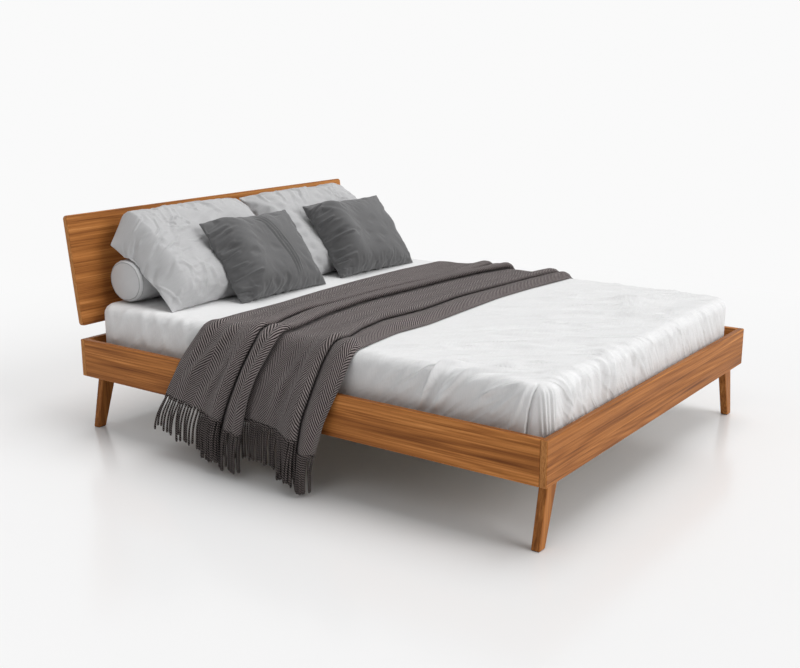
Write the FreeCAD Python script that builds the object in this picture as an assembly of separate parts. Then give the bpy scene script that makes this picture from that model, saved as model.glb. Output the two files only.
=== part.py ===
import FreeCAD, Part
import math
import os

# Double bed in solid wood with its mattress and bedding.
# Millimetres. X runs across the bed, Y from the foot to the head, Z up.
# The origin is on the floor, under the middle of the frame. Left is -X.

V = FreeCAD.Vector

# Mattress, and the room round it in the frame
mattress_width = 1600.0
mattress_length = 2000.0
mattress_height = 200.0
mattress_corner = 70.0
mattress_edge = 40.0
sheet_thickness = 1.5
sheet_return = 120.0
side_gap = 30.0
end_gap = 20.0
mattress_recess = 61.0

# Rails
rail_thickness = 25.0
rail_height = 150.0
floor_clearance = 216.0
rail_round = 4.0

# Headboard and the steel straps behind it
headboard_height = 437.0
headboard_thickness = 25.0
headboard_tilt = 7.4
headboard_gap = 50.0
headboard_corner = 14.0
headboard_round = 6.0
strap_spacing = 900.0
strap_width = 45.0
strap_thickness = 5.0
strap_lower_inset = 18.0
strap_bend_height = 35.0
strap_rise = 300.0

# Legs
leg_thickness = 30.0
leg_foot_inset = 17.0
leg_foot_width = 38.5
leg_outer_splay = 11.1
leg_inner_splay = 18.3
leg_top_drop = 5.0
leg_round = 4.0
glide_height = 3.0
glide_margin = 3.0

# Slatted base
slat_count = 14
slat_thickness = 18.0
slat_width = 70.0
slat_end_gap = 8.0
slat_first = 15.0
slat_round = 3.0
ledger_height = 30.0
ledger_thickness = 25.0
ledger_end_gap = 62.0
beam_width = 45.0
beam_height = 65.0
centre_leg_size = 45.0
hanger_thickness = 3.0
hanger_length = 50.0
hanger_flange = 28.0

# Corner joints
dowel_diameter = 10.0
dowel_length = 48.0
dowel_in_rail = 17.0
dowel_inset = 32.0
angle_thickness = 3.0
angle_height = 66.0
angle_long = 54.0
angle_short = 32.0
angle_inset = 10.0

# Fasteners
bolt_diameter = 8.0
bolt_head_diameter = 13.0
bolt_head_height = 5.5
bolt_bite = 17.0
bolt_pitch = 34.0
bolt_height = 42.0
washer_diameter = 16.0
washer_thickness = 1.6
stud_half_length = 35.0
screw_diameter = 4.5
screw_head_diameter = 9.0
screw_head_height = 2.6
screw_bite = 14.0
ledger_screw_count = 6

# Bedding
bolster_length = 1480.0
bolster_diameter = 186.0
bolster_round = 16.0
bolster_flat = 4.0
bolster_back_gap = 22.0
pillow_width = 720.0
pillow_height = 500.0
pillow_crown = 95.0
pillow_belly = 20.0
pillow_pull = 16.0
pillow_tilt = 42.0
pillow_spacing = 730.0
pillow_shift = 25.0
cushion_width = 490.0
cushion_height = 375.0
cushion_crown = 72.0
cushion_belly = 50.0
cushion_pull = 14.0
cushion_tilt = 53.0
cushion_spacing = 650.0
cushion_shift = 105.0
seam_thickness = 9.0
cover_thickness = 1.2

# Throw: fold lines across its width as they lie on the mattress, and its hang
throw_thickness = 4.0
throw_head_edge = 425.0
throw_fold_head = 198.0
throw_fold_foot = 110.0
throw_pleat = -132.0
throw_foot_edge = -265.0
throw_fold_top = 22.0
throw_fold_hem = 46.0
throw_hem_height = 228.0
throw_far_hem_height = 330.0
throw_flare = 28.0
throw_far_flare = 10.0
throw_drift = 0.32
tassel_diameter = 5.2
tassel_length = 172.0
tassel_pitch = 16.0

# Clearances
fit_gap = 0.15
rest_gap = 0.3
soft_gap = 0.5

# Levels and half sizes
half_in_x = mattress_width / 2 + side_gap
half_in_y = mattress_length / 2 + end_gap
half_out_x = half_in_x + rail_thickness
half_out_y = half_in_y + rail_thickness
rail_top = floor_clearance + rail_height
deck = rail_top - mattress_recess
slat_bottom = deck - slat_thickness
ledger_bottom = slat_bottom - ledger_height
beam_bottom = slat_bottom - beam_height
mattress_bottom = deck + rest_gap
bed_top = mattress_bottom + mattress_height
seat = bed_top + soft_gap

nodes = {}


def block(x0, x1, y0, y1, z0, z1):
    return Part.makeBox(x1 - x0, y1 - y0, z1 - z0, V(x0, y0, z0))


def along(edge, axis):
    a = edge.Vertexes[0].Point
    b = edge.Vertexes[-1].Point
    d = b - a
    return abs(d.getAngle(axis)) < 0.01 or abs(d.getAngle(axis) - math.pi) < 0.01


def eased(solid, radius, axes):
    edges = [e for e in solid.Edges if any(along(e, axis) for axis in axes)]
    return solid.makeFillet(radius, edges)


def pin(diameter, start, end):
    return Part.makeCylinder(diameter / 2, (end - start).Length, start, end - start)


def screw(head, direction, length, grow=0.0):
    """Countersunk screw whose head is flush with the face at the point head."""
    rim = screw_head_diameter / 2 + grow
    core = screw_diameter / 2 + grow
    cone = Part.makeCone(rim, core, screw_head_height + grow, head, direction)
    return cone.fuse(Part.makeCylinder(core, length + grow, head, direction))


def bolt(seat_point, direction, length, grow=0.0):
    """Bolt with a round head that stands on the face at seat_point."""
    shank = Part.makeCylinder(bolt_diameter / 2 + grow, length + grow, seat_point, direction)
    head_start = seat_point - direction * bolt_head_height
    head = Part.makeCylinder(bolt_head_diameter / 2 + grow, bolt_head_height, head_start, direction)
    return shank.fuse(head)


def group(solids):
    return Part.makeCompound(solids)


def drilled(solid, cutters):
    return solid.cut(group(cutters)) if cutters else solid


X = V(1, 0, 0)
Y = V(0, 1, 0)
Z = V(0, 0, 1)
sides = (("left", -1), ("right", 1))
ends = (("foot", -1), ("head", 1))

# Dowels between the side rails' end grain and the end rails
dowels = []
dowel_holes = []
for _, sx in sides:
    for _, sy in ends:
        for level in (floor_clearance + dowel_inset, rail_top - dowel_inset):
            mid_x = sx * (half_in_x + rail_thickness / 2)
            outer = V(mid_x, sy * (half_in_y + dowel_in_rail), level)
            inner = outer - Y * (sy * dowel_length)
            dowels.append(pin(dowel_diameter, outer, inner))
            past = V(0, sy * fit_gap, 0)
            dowel_holes.append(pin(dowel_diameter + 2 * fit_gap, outer + past, inner - past))

# Legs: planks against the inner face of the end rails, splayed sideways
leg_top = deck - leg_top_drop
outer_slope = math.tan(math.radians(leg_outer_splay))
inner_slope = math.tan(math.radians(leg_inner_splay))
bolt_level = floor_clearance + bolt_height


def leg_outer(z):
    return half_out_x - leg_foot_inset - z * outer_slope


def leg_inner(z):
    return half_out_x - leg_foot_inset - leg_foot_width - z * inner_slope


leg_bolts = []
leg_washers = []
rail_bolt_holes = []
glides = []
for end_name, sy in ends:
    for side_name, sx in sides:
        profile = [
            V(sx * leg_outer(glide_height), 0, glide_height),
            V(sx * leg_outer(leg_top), 0, leg_top),
            V(sx * leg_inner(leg_top), 0, leg_top),
            V(sx * leg_inner(glide_height), 0, glide_height),
        ]
        face = Part.Face(Part.makePolygon(profile + profile[:1]))
        leg = face.extrude(V(0, -sy * leg_thickness, 0))
        leg.translate(V(0, sy * half_in_y, 0))
        slanted = [e for e in leg.Edges if abs(e.Vertexes[0].Z - e.Vertexes[-1].Z) > leg_thickness]
        leg = leg.makeFillet(leg_round, slanted)
        middle = sx * (leg_outer(bolt_level) + leg_inner(bolt_level)) / 2
        inner_face = sy * (half_in_y - leg_thickness)
        holes = []
        for k in (-0.5, 0.5):
            spot = V(middle + k * bolt_pitch, inner_face - sy * washer_thickness, bolt_level)
            length = washer_thickness + leg_thickness + bolt_bite
            leg_bolts.append(bolt(spot, Y * sy, length))
            holes.append(bolt(spot, Y * sy, length, fit_gap))
            washer_end = spot + Y * (sy * washer_thickness)
            ring = pin(washer_diameter, spot, washer_end)
            leg_washers.append(ring.cut(pin(bolt_diameter + 2 * fit_gap, spot, washer_end)))
        nodes[f"leg_{end_name}_{side_name}"] = drilled(leg, holes)
        rail_bolt_holes += holes
        foot_a = sx * (leg_outer(glide_height) - glide_margin)
        foot_b = sx * (leg_inner(glide_height) + glide_margin)
        y_a = sy * (half_in_y - glide_margin)
        y_b = sy * (half_in_y - leg_thickness + glide_margin)
        x_pair = sorted((foot_a, foot_b))
        y_pair = sorted((y_a, y_b))
        glides.append(block(x_pair[0], x_pair[1], y_pair[0], y_pair[1], 0, glide_height))

# Steel angles inside the corners, beside the legs
angles = []
angle_screws = []
angle_screw_holes = []
angle_low = floor_clearance + angle_inset
for _, sx in sides:
    for _, sy in ends:
        x_face = sx * half_in_x
        y_face = sy * half_in_y
        xs = sorted((x_face, x_face - sx * angle_thickness))
        ys = sorted((y_face, y_face - sy * angle_long))
        long_arm = block(xs[0], xs[1], ys[0], ys[1], angle_low, angle_low + angle_height)
        xs = sorted((x_face, x_face - sx * angle_short))
        ys = sorted((y_face, y_face - sy * angle_thickness))
        short_arm = block(xs[0], xs[1], ys[0], ys[1], angle_low, angle_low + angle_height)
        plate = long_arm.fuse(short_arm).removeSplitter()
        holes = []
        for k in (0.25, 0.75):
            level = angle_low + k * angle_height
            spot = V(x_face - sx * angle_thickness, y_face - sy * angle_long * 0.66, level)
            angle_screws.append(screw(spot, X * sx, angle_thickness + screw_bite))
            holes.append(screw(spot, X * sx, angle_thickness + screw_bite, fit_gap))
            spot = V(x_face - sx * angle_short * 0.6, y_face - sy * angle_thickness, level)
            angle_screws.append(screw(spot, Y * sy, angle_thickness + screw_bite))
            holes.append(screw(spot, Y * sy, angle_thickness + screw_bite, fit_gap))
        angles.append(drilled(plate, holes))
        angle_screw_holes += holes

# Ledgers along the side rails, which carry the slats' ends
ledger_screws = []
ledger_screw_holes = []
ledgers = {}
half_ledger = half_in_y - ledger_end_gap
for side_name, sx in sides:
    xs = sorted((sx * half_in_x, sx * (half_in_x - ledger_thickness)))
    strip = block(xs[0], xs[1], -half_ledger, half_ledger, ledger_bottom, slat_bottom)
    strip = eased(strip, slat_round, [Y])
    holes = []
    for k in range(ledger_screw_count):
        y = -half_ledger + (k + 0.5) * 2 * half_ledger / ledger_screw_count
        spot = V(sx * (half_in_x - ledger_thickness), y, ledger_bottom + ledger_height * 0.4)
        ledger_screws.append(screw(spot, X * sx, ledger_thickness + screw_bite))
        holes.append(screw(spot, X * sx, ledger_thickness + screw_bite, fit_gap))
    ledgers[side_name] = drilled(strip, holes)
    ledger_screw_holes += holes

# Slats, each screwed to both ledgers
slat_screws = []
slat_screw_holes = []
half_slat = half_in_x - slat_end_gap
slat_span = mattress_length - slat_width - 2 * slat_first
slat_bite = ledger_height * 0.35
for k in range(slat_count):
    y = -slat_span / 2 + k * slat_span / (slat_count - 1)
    slat = block(-half_slat, half_slat, y - slat_width / 2, y + slat_width / 2, slat_bottom, deck)
    slat = eased(slat, slat_round, [X])
    holes = []
    for _, sx in sides:
        spot = V(sx * (half_in_x - ledger_thickness / 2), y, deck)
        slat_screws.append(screw(spot, -Z, slat_thickness + slat_bite))
        holes.append(screw(spot, -Z, slat_thickness + slat_bite, fit_gap))
    nodes[f"slat_{k + 1:02d}"] = drilled(slat, holes)
    slat_screw_holes += holes
for side_name, sx in sides:
    nodes[f"ledger_{side_name}"] = drilled(ledgers[side_name], slat_screw_holes)

# Centre beam, hung from the end rails and propped by the centre leg
beam_reach = half_in_y - hanger_thickness
beam = block(-beam_width / 2, beam_width / 2, -beam_reach, beam_reach, beam_bottom, slat_bottom)
stud = pin(bolt_diameter, V(0, 0, beam_bottom - stud_half_length), V(0, 0, beam_bottom + stud_half_length))
stud_hole = pin(
    bolt_diameter + 2 * fit_gap,
    V(0, 0, beam_bottom - stud_half_length - fit_gap),
    V(0, 0, beam_bottom + stud_half_length + fit_gap),
)
nodes["centre_beam"] = beam.cut(stud_hole)
half_post = centre_leg_size / 2
post = block(-half_post, half_post, -half_post, half_post, glide_height, beam_bottom)
nodes["centre_leg"] = eased(post, leg_round, [Z]).cut(stud_hole)
nodes["centre_leg_stud"] = stud
half_pad = half_post - glide_margin
glides.append(block(-half_pad, half_pad, -half_pad, half_pad, 0, glide_height))

hanger_screws = []
hanger_screw_holes = []
cheek_in = beam_width / 2
cheek_out = cheek_in + hanger_thickness
flange_out = cheek_out + hanger_flange
for end_name, sy in ends:
    low = beam_bottom - hanger_thickness
    wall_top = slat_bottom - hanger_thickness
    ys = sorted((sy * half_in_y, sy * beam_reach))
    back = block(-flange_out, flange_out, ys[0], ys[1], low, wall_top)
    ys = sorted((sy * half_in_y, sy * (half_in_y - hanger_length)))
    tray = block(-cheek_out, cheek_out, ys[0], ys[1], low, beam_bottom)
    wall_a = block(-cheek_out, -cheek_in, ys[0], ys[1], low, wall_top)
    wall_b = block(cheek_in, cheek_out, ys[0], ys[1], low, wall_top)
    hanger = back.fuse(tray).fuse(wall_a).fuse(wall_b).removeSplitter()
    holes = []
    for _, sx in sides:
        for k in (0.25, 0.75):
            level = beam_bottom + k * (beam_height - hanger_thickness)
            spot = V(sx * (cheek_out + hanger_flange / 2), sy * beam_reach, level)
            hanger_screws.append(screw(spot, Y * sy, hanger_thickness + screw_bite))
            holes.append(screw(spot, Y * sy, hanger_thickness + screw_bite, fit_gap))
    nodes[f"beam_hanger_{end_name}"] = drilled(hanger, holes)
    hanger_screw_holes += holes

# Headboard on two bent steel straps behind the head rail
tilt = math.radians(headboard_tilt)
bend_level = rail_top + strap_bend_height
board_low = (rail_top + headboard_gap - bend_level) / math.cos(tilt) + headboard_thickness * math.tan(tilt)
board = block(-half_out_x, half_out_x, -headboard_thickness, 0, board_low, board_low + headboard_height)
board = eased(board, headboard_corner, [Y])
rims = [e for e in board.Edges if not along(e, Y)]
board = board.makeFillet(headboard_round, rims)
lean = FreeCAD.Placement(V(0, half_out_y, bend_level), FreeCAD.Rotation(X, -headboard_tilt))
up = V(0, math.sin(tilt), math.cos(tilt))
back_out = V(0, math.cos(tilt), -math.sin(tilt))
corner = V(0, half_out_y, bend_level)
board.Placement = lean.multiply(board.Placement)

headboard_screws = []
headboard_screw_holes = []
strap_bolts = []
strap_bolt_holes = []
board_bite = headboard_thickness * 0.62
rail_bite = rail_thickness * 0.66
for side_name, sx in sides:
    x = sx * strap_spacing / 2
    low_point = V(0, half_out_y, floor_clearance + strap_lower_inset)
    outline = [
        low_point,
        corner,
        corner + up * strap_rise,
        corner + up * strap_rise + back_out * strap_thickness,
        corner + V(0, strap_thickness, -strap_thickness * math.tan(tilt / 2)),
        low_point + V(0, strap_thickness, 0),
    ]
    strap = Part.Face(Part.makePolygon(outline + outline[:1])).extrude(X * strap_width)
    strap.translate(X * (x - strap_width / 2))
    holes = []
    for k in (0.2, 0.5, 0.8):
        rise = board_low + k * (strap_rise - board_low)
        spot = corner + X * x + up * rise + back_out * strap_thickness
        headboard_screws.append(screw(spot, -back_out, strap_thickness + board_bite))
        holes.append(screw(spot, -back_out, strap_thickness + board_bite, fit_gap))
    headboard_screw_holes += holes
    bolt_cuts = []
    for k in (0.3, 0.75):
        level = floor_clearance + strap_lower_inset + k * (rail_height - strap_lower_inset)
        spot = V(x, half_out_y + strap_thickness, level)
        strap_bolts.append(bolt(spot, -Y, strap_thickness + rail_bite))
        bolt_cuts.append(bolt(spot, -Y, strap_thickness + rail_bite, fit_gap))
    strap_bolt_holes += bolt_cuts
    nodes[f"headboard_strap_{side_name}"] = drilled(strap, holes + bolt_cuts)
nodes["headboard_panel"] = drilled(board, headboard_screw_holes)

# Rails: the end rails run the full width, the side rails butt between them
for end_name, sy in ends:
    ys = sorted((sy * half_in_y, sy * half_out_y))
    rail = block(-half_out_x, half_out_x, ys[0], ys[1], floor_clearance, rail_top)
    rail = rail.makeFillet(rail_round, rail.Edges)
    cuts = dowel_holes + rail_bolt_holes + angle_screw_holes + hanger_screw_holes + strap_bolt_holes
    nodes[f"{end_name}_rail"] = drilled(rail, cuts)
for side_name, sx in sides:
    xs = sorted((sx * half_in_x, sx * half_out_x))
    rail = block(xs[0], xs[1], -half_in_y, half_in_y, floor_clearance, rail_top)
    rail = eased(rail, rail_round, [Y])
    cuts = dowel_holes + angle_screw_holes + ledger_screw_holes
    nodes[f"side_rail_{side_name}"] = drilled(rail, cuts)

nodes["corner_dowels"] = group(dowels)
nodes["corner_angles"] = group(angles)
nodes["corner_angle_screws"] = group(angle_screws)
nodes["leg_bolts"] = group(leg_bolts)
nodes["leg_washers"] = group(leg_washers)
nodes["felt_glides"] = group(glides)
nodes["ledger_screws"] = group(ledger_screws)
nodes["slat_screws"] = group(slat_screws)
nodes["beam_hanger_screws"] = group(hanger_screws)
nodes["headboard_screws"] = group(headboard_screws)
nodes["strap_bolts"] = group(strap_bolts)


def soft_block(inset):
    """The mattress as a block with rounded corners and edges, drawn in by inset all round."""
    hx = mattress_width / 2 - inset
    hy = mattress_length / 2 - inset
    body = block(-hx, hx, -hy, hy, mattress_bottom + inset, bed_top - inset)
    body = eased(body, mattress_corner - inset, [Z])
    flat_edges = [e for e in body.Edges if not along(e, Z)]
    return body.makeFillet(mattress_edge - inset, flat_edges)


# Mattress core in a fitted sheet that turns under its rim
opening = block(
    -mattress_width / 2 + sheet_return,
    mattress_width / 2 - sheet_return,
    -mattress_length / 2 + sheet_return,
    mattress_length / 2 - sheet_return,
    mattress_bottom - sheet_thickness,
    mattress_bottom + 2 * sheet_thickness,
)
nodes["fitted_sheet"] = soft_block(0.0).cut(soft_block(sheet_thickness)).cut(opening)
nodes["mattress_core"] = soft_block(sheet_thickness + fit_gap)

# Bolster: a roll that lies flat where it rests
bolster_radius = bolster_diameter / 2
bolster_y = half_in_y - bolster_back_gap - bolster_radius
bolster_z = seat + bolster_radius - bolster_flat


def bolster_form(inset):
    half = bolster_length / 2 - inset
    radius = bolster_radius - inset
    roll = Part.makeCylinder(radius, 2 * half, V(-half, bolster_y, bolster_z), X)
    rims = [e for e in roll.Edges if len(e.Vertexes) == 1]
    roll = roll.makeFillet(bolster_round - inset, rims)
    floor = seat + inset
    base = block(-half, half, bolster_y - radius, bolster_y + radius, floor - radius, floor)
    return roll.cut(base)


def cushion_form(width, height, crown, belly, pull, inset):
    """Crowned cushion with sides drawn in between its corners: lens sections across its width."""
    steps = 5
    wires = []
    for k in range(-steps, steps + 1):
        f = math.sin(0.5 * math.pi * k / steps)
        fullness = math.sqrt(max(0.0, 1 - f ** 4))
        x = f * (width / 2 - inset)
        half = height / 2 - pull * (1 - f * f) - inset
        top = seam_thickness / 2 + (crown - seam_thickness / 2) * fullness - inset
        low = seam_thickness / 2 + (belly - seam_thickness / 2) * fullness - inset
        a = V(x, -half, 0)
        b = V(x, half, 0)
        front = Part.Arc(a, V(x, 0, top), b).toShape()
        rear = Part.Arc(b, V(x, 0, -low), a).toShape()
        wires.append(Part.Wire([front, rear]))
    return Part.makeLoft(wires, True, False)


def arc_radius(half, rise):
    return (half * half + rise * rise) / (2 * rise)


# Pillows lean on the bolster, cushions lean on the pillows
lean_pillow = math.radians(pillow_tilt)
lean_cushion = math.radians(cushion_tilt)
pillow_reach = bolster_radius + pillow_belly + soft_gap
pillow_y = bolster_y - (pillow_reach + (bolster_z - seat) * math.cos(lean_pillow)) / math.sin(lean_pillow)
pillow_mid_y = pillow_y + 0.5 * pillow_height * math.cos(lean_pillow)
pillow_mid_z = seat + 0.5 * pillow_height * math.sin(lean_pillow)
pillow_arc = arc_radius(pillow_height / 2 - pillow_pull, pillow_crown)
pillow_arc_y = pillow_mid_y - (pillow_crown - pillow_arc) * math.sin(lean_pillow)
pillow_arc_z = pillow_mid_z + (pillow_crown - pillow_arc) * math.cos(lean_pillow)
cushion_arc = arc_radius(cushion_height / 2 - cushion_pull, cushion_belly)
cushion_mid_z = seat + 0.5 * cushion_height * math.sin(lean_cushion)
cushion_arc_z = cushion_mid_z + (cushion_arc - cushion_belly) * math.cos(lean_cushion)
reach = pillow_arc + cushion_arc + soft_gap
cushion_arc_y = pillow_arc_y - math.sqrt(reach ** 2 - (cushion_arc_z - pillow_arc_z) ** 2)
cushion_mid_y = cushion_arc_y + (cushion_arc - cushion_belly) * math.sin(lean_cushion)


def placed(solid, x, y, z, angle):
    copy = solid.copy()
    copy.Placement = FreeCAD.Placement(V(x, y, z), FreeCAD.Rotation(X, angle))
    return copy


def pillow_form(inset):
    return cushion_form(pillow_width, pillow_height, pillow_crown, pillow_belly, pillow_pull, inset)


def small_cushion_form(inset):
    return cushion_form(cushion_width, cushion_height, cushion_crown, cushion_belly, cushion_pull, inset)


filling = cover_thickness + fit_gap
nodes["bolster_cover"] = bolster_form(0.0).cut(bolster_form(cover_thickness))
nodes["bolster_filling"] = bolster_form(filling)
pillow_case = pillow_form(0.0).cut(pillow_form(cover_thickness))
pillow_filling = pillow_form(filling)
cushion_cover = small_cushion_form(0.0).cut(small_cushion_form(cover_thickness))
cushion_filling = small_cushion_form(filling)
for side_name, sx in sides:
    spot = (pillow_shift + sx * pillow_spacing / 2, pillow_mid_y, pillow_mid_z, pillow_tilt)
    nodes[f"pillow_case_{side_name}"] = placed(pillow_case, *spot)
    nodes[f"pillow_filling_{side_name}"] = placed(pillow_filling, *spot)
    spot = (cushion_shift + sx * cushion_spacing / 2, cushion_mid_y, cushion_mid_z, cushion_tilt)
    nodes[f"cushion_cover_{side_name}"] = placed(cushion_cover, *spot)
    nodes[f"cushion_filling_{side_name}"] = placed(cushion_filling, *spot)

# Throw: a woven band laid across the bed, over both edges of the mattress and outside the rails
edge_x = mattress_width / 2 - mattress_edge
edge_z = bed_top - mattress_edge
wrap = mattress_edge + soft_gap
hang_x = half_out_x + throw_thickness / 2


def over_edge(angle):
    return wrap * math.cos(math.radians(angle)), wrap * math.sin(math.radians(angle))


def side_path(sign, hem_z, flare):
    """Points of the throw's underside from the mattress top down to a hem."""
    points = []
    for angle in (90, 62, 36):
        dx, dz = over_edge(angle)
        points.append((sign * (edge_x + dx), edge_z + dz))
    last_x, last_z = points[-1]
    rim_z = rail_top + 2 * rail_round
    points.append(((last_x + sign * hang_x) / 2, (last_z + rim_z) / 2))
    points.append((sign * hang_x, rim_z))
    points.append((sign * (hang_x + 0.6 * flare), 0.6 * rim_z + 0.4 * hem_z))
    points.append((sign * (hang_x + flare), 0.25 * rim_z + 0.75 * hem_z))
    points.append((sign * (hang_x + flare), hem_z))
    return points


near = side_path(-1, throw_hem_height, throw_flare)
far = side_path(1, throw_far_hem_height, throw_far_flare)
top_level = edge_z + wrap
middle = [(edge_x * k, top_level) for k in (0.5, 0.0, -0.5)]
path = far[::-1] + middle + near


def unit(dx, dz):
    size = math.hypot(dx, dz)
    return dx / size, dz / size


def normals(points):
    """Outward unit normals of the path, averaged at its points."""
    result = []
    for k in range(len(points)):
        before = points[max(k - 1, 0)]
        after = points[min(k + 1, len(points) - 1)]
        dx, dz = unit(after[0] - before[0], after[1] - before[1])
        result.append((dz, -dx))
    return result


fold_lines = (throw_head_edge, throw_fold_head, throw_fold_foot, throw_pleat, throw_foot_edge)
head_strip = ((0.0, 0.10), (0.14, 0.30), (0.45, 0.05), (0.75, 0.26), (0.97, 0.0))
fold_strip = ((0.15, 0.70), (0.45, 1.0), (0.75, 0.85), (0.97, 0.0))
middle_strip = ((0.25, 0.30), (0.60, 0.05), (0.95, 0.0))
foot_strip = ((0.18, 0.60), (0.50, 0.85), (0.80, 0.40), (1.0, 0.15))
strips = (head_strip, fold_strip, middle_strip, foot_strip)


def across(k):
    """Place across the bed and fold height of each point of one section of the throw."""
    x, z = path[k]
    drop = max(0.0, top_level - z)
    drift = throw_drift * drop if x < 0 else 0.0
    share = drop / (top_level - throw_hem_height)
    height = throw_fold_top + (throw_fold_hem - throw_fold_top) * share
    row = []
    for start, end, strip in zip(fold_lines, fold_lines[1:], strips):
        row += [(start + t * (end - start) + drift, h * height) for t, h in strip]
    return row


out = normals(path)


def on_section(k, y, height):
    return V(path[k][0] + out[k][0] * height, y, path[k][1] + out[k][1] * height)


sections = []
for k in range(len(path)):
    row = across(k)
    upper = [on_section(k, y, h + throw_thickness) for y, h in row]
    lower = [on_section(k, y, h) for y, h in row]
    ring = upper + lower[::-1]
    sections.append(Part.makePolygon(ring + ring[:1]))
nodes["throw_cloth"] = Part.makeLoft(sections, True, True)

# Fringe: knotted tassels that hang from both hems
tassels = []
for k, inward in ((0, 1), (len(path) - 1, -1)):
    row = across(k)
    dx, dz = unit(path[k][0] - path[k + inward][0], path[k][1] - path[k + inward][1])
    run = V(-out[k][1], 0, out[k][0])
    if run.dot(V(dx, 0, dz)) < 0:
        run = -run
    count = int((row[0][0] - row[-1][0]) / tassel_pitch)
    for j in range(count):
        y = row[0][0] - (j + 0.5) * tassel_pitch
        for (y_a, h_a), (y_b, h_b) in zip(row, row[1:]):
            if y_b <= y <= y_a:
                height = h_a + (h_b - h_a) * (y_a - y) / (y_a - y_b)
        root = on_section(k, y, height + throw_thickness / 2) + run * fit_gap
        tassels.append(pin(tassel_diameter, root, root + run * tassel_length))
nodes["throw_fringe"] = group(tassels)

os.makedirs("parts", exist_ok=True)
for name, shape in nodes.items():
    shape.exportStep(f"parts/{name}.step")
    print(name, len(shape.Solids), shape.isValid(), round(shape.Volume / 1e6, 3))
print(len(nodes), "nodes")
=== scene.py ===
# %% [markdown]
# # A double bed with its bedding
# The bed's solids were drawn in CAD and packed as a fixed frame. This lesson gives them their looks:
# the wood is oiled, the mattress gets its fitted sheet, and the roll, the pillows, the cushions and
# the throw are made as cloth. X runs across the bed, Y from the foot to the head, Z up, in metres.

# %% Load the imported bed
import math

import bpy
import numpy as np
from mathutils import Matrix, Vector
from mathutils.bvhtree import BVHTree


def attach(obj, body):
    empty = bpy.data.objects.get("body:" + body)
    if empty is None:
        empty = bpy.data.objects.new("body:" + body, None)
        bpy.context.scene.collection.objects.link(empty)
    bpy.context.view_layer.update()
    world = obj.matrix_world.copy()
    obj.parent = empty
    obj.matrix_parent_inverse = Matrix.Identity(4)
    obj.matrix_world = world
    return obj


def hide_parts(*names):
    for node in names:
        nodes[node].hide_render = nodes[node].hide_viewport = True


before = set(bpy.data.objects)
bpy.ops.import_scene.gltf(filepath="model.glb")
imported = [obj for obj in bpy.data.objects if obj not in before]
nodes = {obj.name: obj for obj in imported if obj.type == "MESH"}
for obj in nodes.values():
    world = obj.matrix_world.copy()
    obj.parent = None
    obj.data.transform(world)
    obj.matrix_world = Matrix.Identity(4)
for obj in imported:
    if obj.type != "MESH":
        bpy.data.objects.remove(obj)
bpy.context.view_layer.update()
scene = bpy.context.scene

# %% [markdown]
# ## The camera
# The photograph was taken from the near foot corner, a little above the bed. The lens, place and
# turn were worked out from the bed's straight edges, so the camera is set by numbers, not by eye.

# %% Camera
camera = bpy.data.objects.new("photo_camera", bpy.data.cameras.new("photo_camera"))
scene.collection.objects.link(camera)
looks_down, heading = 13.95, -54.5
camera.location = (-3.585, -2.464, 1.445)
camera.rotation_euler = (math.radians(90 - looks_down), 0.0, math.radians(heading))
camera.data.sensor_fit = "HORIZONTAL"
camera.data.sensor_width = 36.0
camera.data.lens = 49.725
scene.camera = camera
scene.view_settings.view_transform = "Standard"
print("camera at", tuple(round(v, 3) for v in camera.location))

# %% [markdown]
# ## Wiring materials
# Every finish below is a small tree of nodes. Adding nodes one by one takes many lines, so one helper
# adds a node, sets its options and fills its inputs with either a number or another node's output.


# %% A helper that wires a finish
class Finish:
    """A material being wired: each call adds one node."""

    def __init__(self, name):
        self.material = bpy.data.materials.new(name)
        self.material.use_nodes = True
        self.tree = self.material.node_tree
        self.shader = self.tree.nodes["Principled BSDF"]

    def feed(self, socket, value):
        if isinstance(value, bpy.types.NodeSocket):
            self.tree.links.new(value, socket)
        else:
            socket.default_value = value

    def add(self, kind, inputs, **options):
        node = self.tree.nodes.new("ShaderNode" + kind)
        for key, value in options.items():
            setattr(node, key, value)
        for key, value in inputs.items():
            self.feed(node.inputs[key], value)
        return node

    def math(self, operation, a, b=0.0):
        return self.add("Math", {0: a, 1: b}, operation=operation).outputs[0]

    def span(self, value, low, high, to_low=0.0, to_high=1.0):
        inputs = {0: value, 1: low, 2: high, 3: to_low, 4: to_high}
        return self.add("MapRange", inputs).outputs[0]

    def stretch(self, vector, scale):
        return self.add("VectorMath", {0: vector, 1: scale}, operation="MULTIPLY").outputs[0]

    def noise(self, vector, scale, detail=3.0, rough=0.5, bend=0.0):
        inputs = {"Vector": vector, "Scale": scale, "Detail": detail, "Roughness": rough, "Distortion": bend}
        return self.add("TexNoise", inputs).outputs["Fac"]

    def ramp(self, value, stops):
        node = self.add("ValToRGB", {0: value})
        ends = node.color_ramp.elements
        while len(ends) < len(stops):
            ends.new(0.5)
        for end, (stop, colour) in zip(ends, stops):
            end.position = stop
            end.color = (*colour, 1.0)
        return node.outputs[0]

    def mix(self, factor, a, b, blend="MIX"):
        inputs = {0: factor, 6: a, 7: b}
        return self.add("Mix", inputs, data_type="RGBA", blend_type=blend).outputs[2]

    def bump(self, height, strength, distance, under=None):
        inputs = {"Strength": strength, "Distance": distance, "Height": height}
        if under is not None:
            inputs["Normal"] = under
        return self.add("Bump", inputs).outputs[0]

    def set(self, **inputs):
        for key, value in inputs.items():
            self.feed(self.shader.inputs[key.replace("_", " ")], value)
        return self.material


def paint(names, material):
    """Give CAD nodes a finish through their own material slots."""
    for name in names:
        for slot in nodes[name].material_slots:
            slot.material = material
    print(material.name, "on", len(names), "nodes")


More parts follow.
